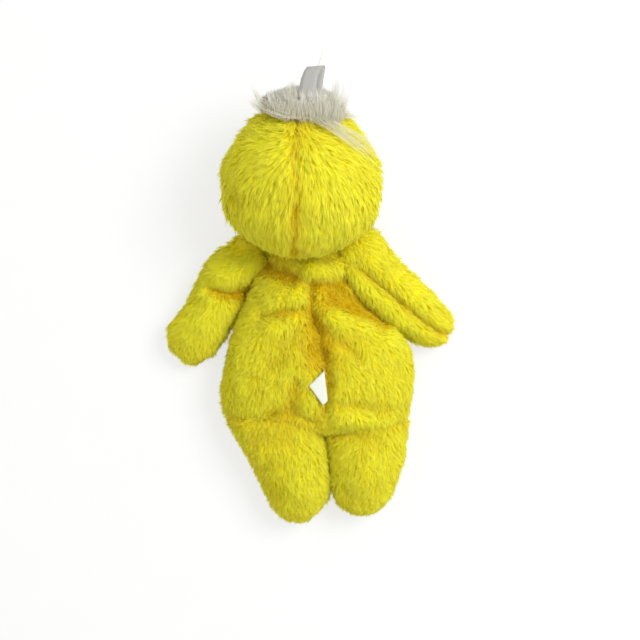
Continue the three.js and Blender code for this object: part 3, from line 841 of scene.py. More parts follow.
def tufts(spots, normals, sunk, strokes, height, look, dice, name, finish):
    """A piece of pile planted at spots. look says how long, how wide and how unruly it is."""

    def varied(what, middle):
        patch, chance, size, seed = TUFTS_DIFFER[what]
        return middle + patch * drift(spots, size, seed) + dice.normal(0, chance, len(spots))

    def each(values):
        return np.repeat(values, look["blades"], axis=0)

    # Each tuft leans along the cloth, turned by a swirl, and stands up from it by its tilt
    lean = np.c_[combed(spots, strokes, height), np.full(len(spots), LEAN_DOWN)]
    lean -= normals * (lean * normals).sum(1, keepdims=True)
    lean = unit(lean + dice.normal(0, LEAN_CHANCE, lean.shape))
    across = unit(np.cross(normals, lean))
    swirl = (look["swirl"] * varied("swirl", 0))[:, None]
    lean, across = (
        lean * np.cos(swirl) + across * np.sin(swirl),
        across * np.cos(swirl) - lean * np.sin(swirl),
    )
    tilt = np.radians(varied("tilt", look["tilt"]))[:, None]
    axis = lean * np.sin(tilt) + normals * np.cos(tilt)
    long = look["length"] * MM * varied("length", 1) * clear_of_eyes(spots)
    # The tint differs at random, and painted shade pulls it to the shaded colours in folds
    tint = varied("tint", look["tint"]) - PAINTED_CREASE_SHADE * sunk

    # Its blades stand round it, and their tips gather towards its own tip
    total = len(spots) * look["blades"]
    around = dice.random(total) * 2 * np.pi
    out = np.sqrt(dice.random(total)) * look["gap"] * TUFT_RADIUS * MM
    offset = each(lean) * (np.cos(around) * out)[:, None]
    offset += each(across) * (np.sin(around) * out)[:, None]
    root = each(spots) + offset - each(normals) * (ROOT_DEPTH * MM)
    reach = each(long) * (1 + dice.normal(0, LENGTH_CHANCE, total))
    wild = unit(each(axis) + dice.normal(0, look["wild"], (total, 3)))
    tip = root + wild * reach[:, None]
    meet = each(spots + axis * long[:, None])
    gather = GATHER_LEAST + GATHER_CHANCE * dice.random(total)
    tip += (meet - tip) * look["gather"] * gather[:, None]
    middle = (root + tip) / 2 + each(normals) * (reach * look["bow"])[:, None]

    # Every blade is turned its own way, and lit more as the cover than as a flat strip
    way = unit(tip - root)
    side = unit(np.cross(way, each(normals)) + dice.normal(0, FACING_CHANCE, (total, 3)))
    side = unit(side - way * (side * way).sum(1, keepdims=True))
    flat = np.cross(side, way)
    turned = np.sign((flat * each(normals)).sum(1, keepdims=True))
    side, flat = side * turned, flat * turned
    round_tuft = offset / (look["gap"] * MM) * LIT_AS_TUFT
    shading = unit(each(normals) + flat * LIT_AS_STRIP + round_tuft)
    widths = BLADE_TAPER * look["width"] * MM
    tints = each(np.clip(tint, 0.05, 0.95)) + dice.normal(0, TINT_CHANCE, total)
    print(name, len(spots), "tufts,", total * 3, "triangles")
    return blades(name, np.stack([root, middle, tip], 1), side, widths, shading, tints, finish)


print("tufts differ by", TUFTS_DIFFER)

# %% Where one cover hides another
CREASE_REACH = 6
INWARDS = -0.8


def buried(spots, others, depth):
    """Which spots lie deeper than depth mm inside another cover, and how close the rest come."""
    inside, close = np.zeros(len(spots), bool), np.zeros(len(spots))
    graph = bpy.context.evaluated_depsgraph_get()
    margin = CREASE_REACH * MM
    for other in others:
        tree = BVHTree.FromObject(other, graph)
        room = places(other)
        near_by = ((spots > room.min(0) - margin) & (spots < room.max(0) + margin)).all(1)
        for i in np.flatnonzero(near_by & ~inside):
            near, normal, _, far = tree.find_nearest(Vector(spots[i]))
            if far > depth * MM and (Vector(spots[i]) - near).dot(normal) < INWARDS * far:
                inside[i] = True
            close[i] = max(close[i], 1 - far / margin)
    return inside, close


print("creases reach", CREASE_REACH, "mm from where covers meet")

# %% [markdown]
# The strokes are in the photograph's own directions: right, then down. On the crown the pile
# is parted by the seam and lies outwards like the barbs of a feather. Lower down it falls
# straight, and on the body it falls towards the legs with more disorder.

# %% Strokes of the comb
comb_strokes = {
    "head": [
        (250, 128, -0.95, -0.2), (270, 133, -1, -0.1), (285, 130, -0.8, 0.1),
        (262, 145, -0.95, 0.25), (285, 148, -0.8, 0.4), (250, 160, -0.7, 0.6),
        (275, 165, -0.7, 0.7), (290, 168, -0.35, 0.85), (235, 175, -0.35, 0.93),
        (265, 188, -0.3, 0.95), (289, 195, -0.12, 1), (245, 212, -0.1, 1), (270, 222, 0, 1),
        (290, 242, 0.05, 1), (300, 130, 0.4, 0.8), (312, 135, 0.65, 0.7), (325, 135, 0.85, 0.45),
        (342, 150, 0.8, 0.6), (304, 152, 0.3, 0.95), (320, 158, 0.5, 0.85), (304, 180, 0.08, 1),
        (330, 178, 0.42, 0.9), (360, 170, 0.45, 0.9), (345, 198, 0.28, 0.95), (374, 190, 0.12, 1),
        (316, 205, 0.03, 1), (340, 222, 0, 1), (365, 215, -0.15, 1), (308, 242, -0.05, 1),
        (222, 200, -0.05, 1), (232, 226, 0.15, 1),
    ],
    "torso": [
        (280, 262, 0.3, 0.9), (325, 270, 0.25, 0.95), (345, 266, -0.2, 0.95),
        (270, 290, -0.5, 0.85), (296, 296, -0.15, 1), (250, 312, -0.7, 0.7),
        (285, 322, -0.3, 0.95), (242, 345, -0.35, 0.93), (270, 355, -0.2, 1), (300, 345, 0.1, 1),
        (232, 385, -0.2, 1), (262, 395, -0.1, 1), (300, 395, 0.25, 1), (335, 300, 0.35, 0.9),
        (370, 330, 0.6, 0.8), (345, 340, 0.3, 0.95), (395, 350, 0.5, 0.85), (335, 365, -0.1, 1),
        (365, 375, 0.15, 1), (404, 385, 0.25, 1), (340, 395, 0.05, 1), (380, 410, 0.1, 1),
        (345, 422, -0.05, 1), (240, 425, -0.2, 1),
    ],
    "wing_left": [
        (246, 246, -0.6, 0.8), (226, 256, -0.8, 0.6), (208, 266, -0.85, 0.5),
        (240, 278, -0.4, 0.9), (214, 282, -0.6, 0.8), (240, 300, 0.1, 1), (210, 300, -0.45, 0.9),
        (232, 325, 0.25, 0.97), (196, 318, -0.6, 0.8), (176, 332, -0.7, 0.7),
        (196, 350, -0.25, 0.97),
    ],
    "wing_right": [
        (372, 240, 0.7, 0.7), (392, 262, 0.75, 0.65), (416, 282, 0.8, 0.6), (436, 302, 0.7, 0.7),
        (352, 272, 0.1, 1), (372, 292, 0.3, 0.95), (392, 306, 0.4, 0.9), (414, 328, 0.5, 0.85),
        (446, 326, 0.85, 0.5), (384, 322, 0.2, 0.97),
    ],
    "leg_left": [
        (246, 446, -0.35, 0.93), (270, 450, -0.1, 1), (306, 450, 0.15, 1),
        (262, 480, -0.35, 0.93), (288, 484, 0, 1), (322, 476, 0.4, 0.9), (280, 508, -0.3, 0.95),
        (306, 508, 0.3, 0.95),
    ],
    "leg_right": [
        (340, 446, -0.3, 0.95), (366, 450, 0, 1), (396, 450, 0.35, 0.93), (342, 478, -0.3, 0.95),
        (368, 482, 0.05, 1), (390, 484, 0.35, 0.93), (354, 502, -0.15, 1), (374, 504, 0.15, 1),
    ],
    "crest": [
        (260, 108, -0.85, -0.45), (270, 98, -0.55, -0.8), (284, 104, -0.15, -1),
        (300, 108, 0, -1), (318, 106, 0.1, -1), (332, 104, 0.4, -0.9), (342, 112, 0.8, -0.4),
    ],
    "bill": [(300, 200, 0, 1), (280, 210, -0.2, 1), (320, 210, 0.2, 1)],
}
print("strokes:", {name: len(strokes) for name, strokes in comb_strokes.items()})

# %% [markdown]
# ## Crest pad and bill
# The crest is a small round of white long-piled plush, let into the crown. The bill is two
# flat lips of orange plush, one on the other, that lie between the chest and the ground when
# the duck is face down. The photograph doesn't show it, so its form is the usual one.

# %% Crest pad and bill lips
CREST_CENTRE, CREST_RADII = (-1.5, 99.9, 56.0), (27, 15, 26)
CREST_PILE_ROOM = 4.2
BILL_ROUTE = [(-1.8, 57), (-1.8, 45), (-1.8, 33), (-1.8, 21.5)]
BILL_HALF_WIDTH, BILL_PILE_ROOM = 21.5, 0.9
BILL_WIDTHS, BILL_DEPTHS = [0.8, 0.88, 0.96, 1, 0.96], [0.8, 0.9, 1, 0.95]
# Each lip's lowest place and its thickness
BILL_LIPS = {"bill_top": (0.3, 6.5), "bill_under": (7.2, 8.6)}

bm = bmesh.new()
ball(bm, CREST_CENTRE, [r - CREST_PILE_ROOM for r in CREST_RADII])
crest_pad = as_piece("crest_pad", bm, white_backing)
stuffed(crest_pad, lambda p: p[:, 1] < CREST_CENTRE[1], cap=0.8, voxel=3.2)

lips = {}
for name, (base, depth) in BILL_LIPS.items():
    bm = bmesh.new()
    lofted(
        bm, BILL_ROUTE, BILL_HALF_WIDTH, BILL_WIDTHS, depth, BILL_DEPTHS,
        ends=(3, 17), inset=BILL_PILE_ROOM, facing=FACING_DOWN, base=base,
    )
    lips[name] = as_piece(f"{name}_lip", bm, orange_backing)
    middle = base + depth / 2
    stuffed(
        lips[name], lambda p, z=middle: abs(p[:, 2] - z) < 1.2, cap=0.6, voxel=1.8, smoothing=2
    )
covers.update(crest=crest_pad, **lips)
print("crest pad and lips:", [len(o.data.polygons) for o in (crest_pad, *lips.values())])

# %% [markdown]
# The head's pile is the longest, 7.6 mm, and lies flattest. The body's is shorter and stands
# up more. The underside, which the duck lies on, is pressed flat, so it is planted thinner.
# Lengths, widths and the gap between tufts are in millimetres, and the tilt is in degrees
# from upright.

# %% How each pile looks
head_look = dict(
    gap=1.85, blades=10, length=7.6, width=0.66, tilt=70, bow=0.06, gather=0.34, wild=0.07,
    swirl=0.24, tint=0.85,
)
body_look = dict(
    gap=1.5, blades=7, length=4.8, width=0.58, tilt=62, bow=0.08, gather=0.32, wild=0.12,
    swirl=0.6, tint=0.83,
)
wing_look = {**body_look, "length": 5.2, "tilt": 66, "swirl": 0.4}
crest_look = dict(
    gap=2.0, blades=14, length=6.0, width=0.34, tilt=70, bow=0.1, gather=0.2, wild=0.1,
    swirl=0.3, tint=0.6,
)
bill_look = dict(
    gap=1.9, blades=8, length=2.4, width=0.5, tilt=62, bow=0.08, gather=0.3, wild=0.2,
    swirl=0.5, tint=0.6,
)
# Each cover's pile: its look, its strokes and the height they lie at, how deep inside another
# cover it may still start, and its fibre
plush = {
    "head": (head_look, "head", 75, 4, yellow_pile),
    "torso": (body_look, "torso", 38, 5, yellow_pile),
    "wing_left": (wing_look, "wing_left", 24, 3, yellow_pile),
    "wing_right": (wing_look, "wing_right", 25, 3, yellow_pile),
    "leg_left": (body_look, "leg_left", 32, 3, yellow_pile),
    "leg_right": (body_look, "leg_right", 32, 3, yellow_pile),
    "neck": (body_look, "torso", 34, 3, yellow_pile),
    "crest": (crest_look, "crest", 70, 1, white_pile),
    "bill_top": (bill_look, "bill", 8, 0.5, orange_pile),
    "bill_under": (bill_look, "bill", 12, 0.5, orange_pile),
}
print("pile lengths, mm:", {name: facts[0]["length"] for name, facts in plush.items()})

# %% Pile on every cover
PRESSED_FLAT, LEFT_OUT_BELOW = -0.5, 0.35


def panels(name, spots):
    """Which spots belong to each sewn panel of a cover, so that its pile is a piece."""
    x, y, z = as_drawn(spots).T
    if name == "head":
        return {"left": x < HEAD_CENTRE[0], "right": x >= HEAD_CENTRE[0]}
    if name == "torso":
        seam = on_photo(BACK_SEAM, 40)
        line = np.interp(-y, -seam[:, 1], seam[:, 0])
        back = z > TORSO_EDGE
        return {"back_left": back & (x < line), "back_right": back & (x >= line), "belly": ~back}
    return {"": np.ones(len(spots), bool)}


pile = {}
for seed, (name, (look, strokes, height, depth, fibre)) in enumerate(plush.items(), 100):
    dice = np.random.default_rng(seed)
    spots, normals, sunk = scattered(covers[name], look["gap"], dice)
    others = [other for key, other in covers.items() if key != name]
    hidden, close = buried(spots, others, depth)
    if fibre is yellow_pile:
        # Between two covers painted shade makes the pile as golden as in a fold
        sunk = np.maximum(sunk, 0.7 * sunk + 0.35 * close)
    below = (normals[:, 2] < PRESSED_FLAT) & (dice.random(len(spots)) < LEFT_OUT_BELOW)
    stays = ~hidden & ~below
    spots, normals, sunk = spots[stays], normals[stays], sunk[stays]
    for side, mine in panels(name, spots).items():
        label = "_".join(filter(None, (name, side, "pile")))
        pile[label] = tufts(
            spots[mine], normals[mine], sunk[mine], comb_strokes[strokes], height, look, dice,
            label, fibre,
        )

# %% [markdown]
# ## Wisps of the crest
# Over the pad's own pile lie longer locks. Each is drawn as a bundle along a curve through
# three places read from the photograph: where it grows, where it bends and where it ends.
# Swaths are combed more evenly between rows of such places: over the crown, behind it, as one
# thin veil down the right side of the head, and as a fringe. A single loose filament stands
# up behind the ribbon.

# %% Locks and swaths of long hair
LOCK_POINTS = 7
HEAD_CLEARANCE = 0.6


def off_head(paths):
    """Points that would dip into the head's pile, lifted to just above it."""
    centre, radii = np.array(framed(HEAD_CENTRE)), (np.array(HEAD_RADII) + HEAD_CLEARANCE) * MM
    out = (paths - centre) / radii
    far = np.linalg.norm(out, axis=-1, keepdims=True)
    return centre + out * np.maximum(1, 1 / far) * radii


def lifted(rows):
    """The drawn places of rows of pixel x, pixel y and height."""
    return np.array([[*on_photo(row[:2], row[2]), row[2]] for row in rows])


def bent(root, bend, tip):
    """Paths in metres that leave drawn roots towards their bends and end at their tips."""
    t = np.linspace(0, 1, LOCK_POINTS)[None, :, None]
    root, bend, tip = root[:, None], bend[:, None], tip[:, None]
    return in_frame(root * (1 - t) ** 2 + 2 * bend * t * (1 - t) + tip * t**2)


def lock_paths(root, bend, tip, strands, root_spread, tip_spread, dice):
    """Curved strands of one lock, each place given as pixel x, pixel y and height."""
    root, bend, tip = lifted((root, bend, tip))
    apart = dice.normal(0, 1, (strands, 3))
    reach = 1 + dice.normal(0, 0.1, (strands, 1))
    spread = apart * (root_spread + tip_spread) / 2
    return bent(
        root + apart * root_spread,
        bend + spread + dice.normal(0, 0.8, (strands, 3)),
        root + (tip - root) * reach + apart * tip_spread,
    )


def swept(stations, strands, jitter, dice):
    """Even hair over a row of stations, each with a root, a bend and a tip."""
    share, steps = dice.random(strands), np.linspace(0, 1, len(stations))
    rows = []
    for row in map(lifted, zip(*stations)):
        at = np.clip(share + dice.normal(0, 0.02, strands), 0, 1)
        rows.append(np.stack([np.interp(at, steps, k) for k in row.T], 1))
    a, b, c = rows
    c = a + (c - a) * (1 + dice.normal(0, 0.12, (strands, 1)))
    return bent(*(k + dice.normal(0, j, k.shape) for k, j in ((a, 1.3), (b, jitter), (c, jitter))))


# Each lock: root, bend, tip, strands, spread at the root and at the tip, width of a strand
locks = [
    ((266, 109, 76), (259, 101, 78), (254, 88, 72), 26, 1.8, 0.7, 0.14),
    ((265, 110, 75), (258, 106, 77), (250, 101, 71), 18, 1.5, 0.6, 0.13),
    ((275, 110, 77), (270, 101, 79), (269, 91, 68), 34, 2.2, 1.1, 0.14),
    ((290, 108, 77), (291, 96, 77), (294, 82, 64), 24, 2.6, 1.0, 0.13),
    ((330, 114, 77), (336, 101, 76), (337, 80, 64), 44, 3.2, 1.5, 0.12),
    ((336, 116, 75), (343, 103, 71), (345, 92, 62), 30, 2.4, 1.6, 0.12),
    ((264, 109, 76), (277, 117, 82), (292, 118, 82), 16, 1.3, 1.4, 0.13),
]
# Each swath: stations of a root, a bend and a tip, then strands, how far each strays, width
swaths = [
    ([
        ((264, 106, 74), (261, 100, 76), (263, 99, 62)),
        ((272, 111, 77), (271, 98, 80), (273, 95, 56)),
        ((285, 115, 79), (286, 97, 82), (287, 91, 52)),
        ((301, 117, 80), (301, 96, 83), (301, 90, 50)),
        ((318, 116, 80), (318, 97, 83), (318, 90, 50)),
        ((330, 117, 78), (333, 99, 80), (331, 95, 52)),
        ((339, 121, 75), (343, 109, 76), (341, 106, 56)),
    ], 3400, 1.1, 0.17),
    ([
        ((266, 107, 66), (262, 100, 60), (268, 101, 60)),
        ((276, 103, 66), (274, 94, 60), (276, 96, 50)),
        ((289, 100, 66), (288, 90, 60), (288, 92, 40)),
        ((302, 99, 66), (302, 89, 60), (302, 91, 35)),
        ((318, 100, 66), (318, 90, 60), (318, 92, 40)),
        ((331, 104, 66), (332, 95, 60), (328, 97, 50)),
        ((338, 111, 66), (341, 105, 60), (336, 106, 60)),
    ], 1500, 1.6, 0.17),
    ([
        ((311, 119, 80), (335, 133, 84), (362, 154, 77)),
        ((320, 119, 80), (342, 131, 83), (373, 159, 68)),
        ((329, 118, 78), (349, 130, 80), (381, 158, 58)),
    ], 44, 2.1, 0.1),
    ([
        ((266, 109, 75), (265, 110, 79), (263, 112, 78)),
        ((281, 114, 79), (282, 116, 83), (283, 118, 82)),
        ((299, 117, 80), (299, 119, 84), (301, 122, 83)),
        ((318, 117, 80), (320, 119, 84), (324, 122, 83)),
        ((333, 120, 77), (338, 125, 81), (345, 131, 80)),
    ], 150, 1.5, 0.09),
    ([
        ((330, 112, 77), (338, 103, 77), (343, 98, 66)),
        ((336, 113, 75), (343, 108, 74), (348, 109, 60)),
        ((341, 116, 72), (347, 117, 71), (355, 124, 56)),
    ], 110, 1.6, 0.12),
]
print(len(locks), "locks and", len(swaths), "swaths of hair")

# %% Hair of the crest
STRAND_WIDTHS = [1.0, 1.0, 1.0, 1.0, 0.85, 0.6, 0]
HAIR_FACES = (0.1, 0.25, 1.0)
FILAMENT_WIDTH = 0.14

dice = np.random.default_rng(7)
bundles = [lock_paths(*facts[:-1], dice) for facts in locks]
bundles += [swept(*facts[:-1], dice) for facts in swaths]
paths = off_head(np.concatenate(bundles))
facing = unit(np.array(HAIR_FACES) + dice.normal(0, 0.25, (len(paths), 3)))
hair_widths = np.repeat([facts[-1] for facts in locks + swaths], list(map(len, bundles)))
sides = unit(np.cross(unit(paths[:, -1] - paths[:, 0]), facing)) * hair_widths[:, None]
tints = np.clip(dice.normal(0.6, 0.16, len(paths)), 0.03, 0.97)
pile["crest_locks"] = blades(
    "crest_locks", paths, sides, np.array(STRAND_WIDTHS) * MM, facing, tints, white_pile
)
thread = lock_paths((318, 66, 66), (321, 58, 66), (323.6, 44.8, 62), 2, 0.05, 0.3, dice)
pile["loose_filament"] = blades(
    "loose_filament", thread, np.tile([1.0, 0, 0], (2, 1)),
    np.full(LOCK_POINTS, FILAMENT_WIDTH) * MM, np.tile([0, 0, 1.0], (2, 1)),
    np.array([0.1, 0.9]), white_pile,
)
print("hair:", len(paths), "strands of", len(pile["crest_locks"].data.polygons), "faces")

# %% [markdown]
# ## Ribbon loop and care label
# A loop of thin grey satin ribbon is sewn into the crown, to hang the toy by. It is one strip,
# folded over and a little twisted, so that its back half shows beside its front half. A care
# label of white woven tape comes out of the seam down the back; its print is left out.

# %% Ribbon and tape
RIB_BUMP = 0.05
RIB_WANDER = 0.6


def woven(name, warp, weft, pitch, rough, lets_through):
    """A thin ribbon or tape: fine ribs across it, of two near shades, partly see-through."""
    made, tree, principled = material(name, Roughness=rough, Sheen_Weight=0.15)
    where = add_node(tree, "TexCoord").outputs["UV"]
    laid = {"Vector": where, "Scale": math.pi / (10 * pitch * MM), "Distortion": RIB_WANDER}
    ribs = add_node(tree, "TexWave", laid, bands_direction="Y").outputs[1]
    colour = add_node(tree, "Mix", {0: ribs, 6: linear(warp), 7: linear(weft)}, data_type="RGBA")
    bump = add_node(tree, "Bump", {"Height": ribs, "Strength": 0.3, "Distance": RIB_BUMP * MM})
    tree.links.new(colour.outputs[2], principled.inputs["Base Color"])
    tree.links.new(bump.outputs[0], principled.inputs["Normal"])
    seen_through(tree, principled, colour.outputs[2], lets_through)
    return made


# Satin's long floating threads give a soft even gleam; the label's tape is tight and matt
grey_satin = woven("polyester_satin_ribbon_woven_grey", "#D0CEC9", "#CAC8C3", 0.4, 0.5, 0.4)
white_tape = woven("polyester_label_tape_woven_white", "#F2F4EA", "#E4E6DC", 0.5, 0.7, 0.1)


def length_of(line):
    """How long a line of (place, way across) is."""
    return sum(math.dist(a[0], b[0]) for a, b in zip(line, line[1:]))


def strip(name, finish, line, width, thickness, rounds=40, lanes=4):
    """A strip of cloth along a line of drawn places; each has its own way across."""
    bm = bmesh.new()
    bmesh.ops.create_grid(bm, x_segments=lanes, y_segments=rounds, size=0.5)
    uv = bm.loops.layers.uv.new("Weave")
    cut = (width * MM, length_of(line) * MM)
    for loop in (loop for face in bm.faces for loop in face.loops):
        loop[uv].uv = [(at + 0.5) * size for at, size in zip(loop.vert.co, cut)]
    knots = np.array([place for place, _ in line], float)
    across = unit(np.array([way for _, way in line], float))
    stations = np.linspace(0, 1, len(line))
    for v in bm.verts:
        t = v.co.y + 0.5
        middle, way = ([np.interp(t, stations, k) for k in rows.T] for rows in (knots, across))
        v.co = framed(np.array(middle) + unit(np.array(way)) * v.co.x * width)
    bmesh.ops.solidify(bm, geom=bm.faces[:], thickness=thickness * MM)
    piece = as_piece(name, bm, finish)
    piece.data.shade_smooth()
    return piece


print("woven:", grey_satin.name, white_tape.name)

# %% Ribbon loop
RIBBON_WIDTH, RIBBON_THICKNESS = 10.4, 0.25
LOOP_RADIUS, LOOP_ROOT, LOOP_TOP = 3.6, 103, 125.6
LOOP_HEIGHT, LOOP_LEAN = 62.5, 12
# Where along the strip its middle stands how far to the right
LOOP_SLIDE = ([0, 0.42, 0.58, 0.75, 1], [5.6, 8.6, 7.2, 3.9, 1.8])
RIBBON_ACROSS = (1, 0.06, 0.12)

crown = LOOP_TOP - LOOP_RADIUS
rise = np.linspace(LOOP_ROOT, crown, 12)
turns = np.radians(np.linspace(165, 15, 9))
profile = [(y, LOOP_HEIGHT - LOOP_RADIUS) for y in rise]
profile += [
    (crown + LOOP_RADIUS * math.sin(a), LOOP_HEIGHT + LOOP_RADIUS * math.cos(a)) for a in turns
]
profile += [(y, LOOP_HEIGHT + LOOP_RADIUS) for y in rise[::-1]]
slide = np.interp(np.linspace(0, 1, len(profile)), *LOOP_SLIDE)
ribbon_line = [
    ((x, y, z + LOOP_LEAN * (LOOP_TOP - y) / (LOOP_TOP - LOOP_ROOT)), RIBBON_ACROSS)
    for x, (y, z) in zip(slide, profile)
]
ribbon = strip("ribbon_loop", grey_satin, ribbon_line, RIBBON_WIDTH, RIBBON_THICKNESS)
print("ribbon", round(length_of(ribbon_line), 1), "mm long")

# %% Care label
LABEL_WIDTH, LABEL_THICKNESS = 15.4, 0.3
LABEL_ON_PILE, LABEL_HEIGHT = 4.8, 44.6
LABEL_ACROSS = np.array([0.58, -0.81, 0])
SEAM_AT_LABEL = [(323.5, 368), (327.5, 400)]
# Of each mm past the seam, so much is drawn back and so much goes down
FOLD_BACK, FOLD_DOWN = 0.92, 0.99

start, end = (
    np.array([*on_photo(at, height), LABEL_HEIGHT])
    for at, height in (((316, 396), 44.5), ((336, 376), 41))
)
label_line = [(start + (end - start) * t, LABEL_ACROSS) for t in np.linspace(0, 0.95, 16)]
label = strip(
    "care_label_tape", white_tape, label_line, LABEL_WIDTH, LABEL_THICKNESS, rounds=16, lanes=12
)
# The tape is stiff and lies flat on the pile: a plane is fitted to the cover under it
spots = places(label)
ground = BVHTree.FromObject(torso_cover, bpy.context.evaluated_depsgraph_get())
under = np.array([ground.ray_cast(Vector((x, y, 0.1)), (0, 0, -1))[0][2] for x, y, _ in spots])
plane = np.c_[spots[:, :2], np.ones(len(spots))]
slope, *_ = np.linalg.lstsq(plane, under, rcond=None)
spots[:, 2] += plane @ slope + LABEL_ON_PILE * MM - spots[:, 2].mean()
# Past the seam it bends down into it, between the two halves of the back
seam = (on_photo(SEAM_AT_LABEL, 44) + shift[:2]) * MM
past = np.maximum(spots[:, 0] - np.interp(-spots[:, 1], -seam[:, 1], seam[:, 0]), 0)
spots[:, 0] -= past * FOLD_BACK
spots[:, 2] -= past * FOLD_DOWN
put(label, spots)
print("label", round(length_of(label_line), 1), "mm long")

# %% [markdown]
# ## Eyes
# The eyes are moulded black plastic domes with a washer behind the cloth. They look at the
# ground, and only a view from the front or from below shows them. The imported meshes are
# faceted, so each eye is a merged and smoothed copy.

# %% Eyes and washers
PIGMENT_DRIFT = 4


def moulded(name, dark, light, rough, coat):
    """Injection-moulded plastic, with a slow drift of shade as pigment settles."""
    shader = dict(Roughness=rough, Coat_Weight=coat, Coat_Roughness=0.05)
    return drifting(name, dark, light, PIGMENT_DRIFT, **shader)[0]


# The eyes are polished and mirror a lamp as one sharp spark; the washers are plain and dull
eye_black = moulded("polystyrene_eye_moulded_black", "#0A0908", "#1A1612", 0.12, 0.6)
washer_white = moulded("polyethylene_washer_moulded_white", "#DAD8CF", "#E8E6DE", 0.5, 0.0)
eyes = {}
for node in ("eye_left", "eye_right", "eye_washer_left", "eye_washer_right"):
    bm = bmesh.new()
    bm.from_mesh(frame["nodes"][node].data)
    bmesh.ops.remove_doubles(bm, verts=bm.verts, dist=0.01 * MM)
    finish = washer_white if "washer" in node else eye_black
    eyes[node] = as_piece(f"{node}_moulded", bm, finish)
    eyes[node].data.shade_smooth()
    eyes[node].data.set_sharp_from_angle(angle=math.radians(40))
    print(node, len(eyes[node].data.polygons), "faces")

# %% [markdown]
# ## Stage, light and camera
# The photograph shows the duck cut out on white, so the floor is white to the camera and to
# mirrors, but it keeps a soft shadow. The world gives even light from all round, and one large
# lamp from the top right models the head. Together they light a level white sheet to white.

# %% Stage
FLOOR_SIDE, BOARD_GRAIN = 6.0, 30
SHADOW_KEPT = 0.3


def shown(tree):
    """1 where the camera, a mirror or clear glass sees a surface, 0 where light falls on it."""
    path = add_node(tree, "LightPath").outputs
    ray = path["Is Camera Ray"]
    for other in ("Is Glossy Ray", "Is Transmission Ray"):
        ray = add_node(tree, "Math", {0: ray, 1: path[other]}, operation="MAXIMUM").outputs[0]
    return ray


floor_material, tree, board, _ = drifting(
    "painted_board_matt_white", "#F4F4F2", "#FAFAF9", BOARD_GRAIN, Roughness=1.0
)
glow = add_node(tree, "Emission", {"Color": linear("#FFFFFF"), "Strength": 1.0})
share = add_node(tree, "Math", {0: shown(tree), 1: 1 - SHADOW_KEPT}, operation="MULTIPLY")
sides = {0: share.outputs[0], 1: board.outputs[0], 2: glow.outputs[0]}
both = add_node(tree, "MixShader", sides)
tree.links.new(both.outputs[0], tree.nodes["Material Output"].inputs["Surface"])
bm = bmesh.new()
bmesh.ops.create_grid(bm, x_segments=1, y_segments=1, size=FLOOR_SIDE / 2)
floor = as_piece("floor", bm, floor_material)
print("floor", FLOOR_SIDE, "m wide")

# %% Light
ROOM_LIGHT = 0.64
KEY_AT, KEY_AIM, KEY_SIDE, KEY_POWER = (0.64, 0.32, 0.95), (0, 0, 0.03), 0.6, 10.4

scene = bpy.context.scene
scene.view_settings.view_transform = "Standard"
world = bpy.data.worlds.new("soft_room")
world.use_nodes = True
scene.world = world
tree = world.node_tree
levels = {0: shown(tree), 2: ROOM_LIGHT, 3: 1.0}
strength = add_node(tree, "Mix", levels, data_type="FLOAT")
background = tree.nodes["Background"]
background.inputs["Color"].default_value = linear("#FFFFFF")
tree.links.new(strength.outputs[0], background.inputs["Strength"])

softbox = bpy.data.lights.new("key_softbox", "AREA")
softbox.size, softbox.energy = KEY_SIDE, KEY_POWER
lamp = stand("key_softbox", softbox)
lamp.location = KEY_AT
lamp.rotation_euler = (Vector(KEY_AIM) - Vector(KEY_AT)).to_track_quat("-Z", "Y").to_euler()
print("room light", ROOM_LIGHT, "and one lamp of", KEY_POWER, "W")

# %% Camera
SENSOR = 36

lens = bpy.data.cameras.new("camera")
lens.sensor_width = SENSOR
lens.lens = SENSOR * (CAMERA_HEIGHT - PIXEL_HEIGHT) / (PHOTO_PIXELS * PIXEL)
lens.clip_start, lens.clip_end = 0.05, 20
camera = stand("camera", lens)
camera.location = framed((*UNDER_CAMERA, CAMERA_HEIGHT))
scene.camera = camera
print("camera", round(lens.lens, 1), "mm lens, straight above", camera.location)

# %% [markdown]
# ## Riding on the frame
# Each cover and its pile replace the CAD panels and the stuffing they stand for. A part
# without a joint rides on its body; a limb's fabric crosses a joint, and its pieces only have
# their transforms baked in.

# %% Bodies and joints
BEND_REACH = 9
# Which way each joint's limb lies
OUTWARDS = {
    "neck_nod": (0, 1, 0), "leg_left_fold": (0, -1, 0), "leg_right_fold": (0, -1, 0),
}


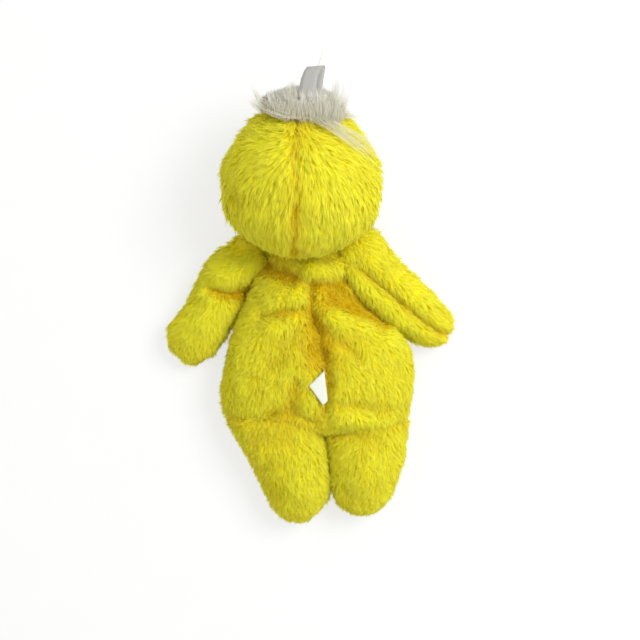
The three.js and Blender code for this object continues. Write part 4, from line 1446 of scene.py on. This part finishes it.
def hinge_ends(joint):
    """Points before and after a joint, across its axis, on the way out to the limb."""
    at, axis = Vector(joints[joint]["pos_m"]), Vector(joints[joint]["axis"])
    out = Vector((0, 0, 1)).cross(axis).normalized()
    if joint in OUTWARDS:
        out = Vector(OUTWARDS[joint])
    elif out.x * at.x < 0:
        out = -out
    return at - out * BEND_REACH * MM, at + out * BEND_REACH * MM


def rides(body, slot, *pieces):
    """Gives pieces the body that they ride on; slot is not used."""
    for piece in pieces:
        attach(piece, body)


# Each part: its body, the joint that its cloth crosses, the panels it replaces, its filling
limb_panels = ("back", "front", "stuffing")
soft_parts = {
    "head": ("head", None, ("panel_left", "panel_right", "stuffing"), 0.8),
    "torso": ("torso", None, ("back_left", "back_right", "belly", "stuffing"), 0.35),
    "neck": ("head", "neck_nod", (), 0.5),
    "wing_left": ("wing_left", "wing_left_flap", limb_panels, 0.5),
    "wing_right": ("wing_right", "wing_right_flap", limb_panels, 0.5),
    "leg_left": ("leg_left", "leg_left_fold", limb_panels, 0.45),
    "leg_right": ("leg_right", "leg_right_fold", limb_panels, 0.45),
}
for name, (body, joint, nodes, fill) in soft_parts.items():
    if nodes:
        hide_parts(*(f"{name}_{node}" for node in nodes))
    mine = [covers[name]] + [piece for key, piece in pile.items() if key.startswith(name + "_")]
    for piece in mine:
        if joint:
            start, end = hinge_ends(joint)
            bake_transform(piece)
        else:
            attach(piece, body)
    print(name, "rides on", body, "with", len(mine), "pieces")

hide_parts("crest_patch")
white_hair = (pile[name] for name in ("crest_pile", "crest_locks", "loose_filament"))
rides("head", "white_pile", crest_pad, *white_hair)
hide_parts("bill_top_panel", "bill_stuffing")
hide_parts("bill_under_panel")
for name, lip in lips.items():
    rides("head", "orange_plush", lip, pile[f"{name}_pile"])
for node, piece in eyes.items():
    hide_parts(node)
    rides("head", "washer_plastic" if "washer" in node else "eye_plastic", piece)
for cloth, node, slot, body, line, width, held, under in (
    (ribbon, "hang_loop", "grey_satin", "head", ribbon_line, RIBBON_WIDTH, "folded", "crest_pad"),
    (label, "care_label", "label_tape", "torso", label_line, LABEL_WIDTH, "laid", "torso_cover"),
):
    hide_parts(node)
    rides(body, slot, cloth)
print("pieces told of:", len(pile) + len(covers) + len(eyes) + 2)

# %% The end: the scene is updated
bpy.context.view_layer.update()
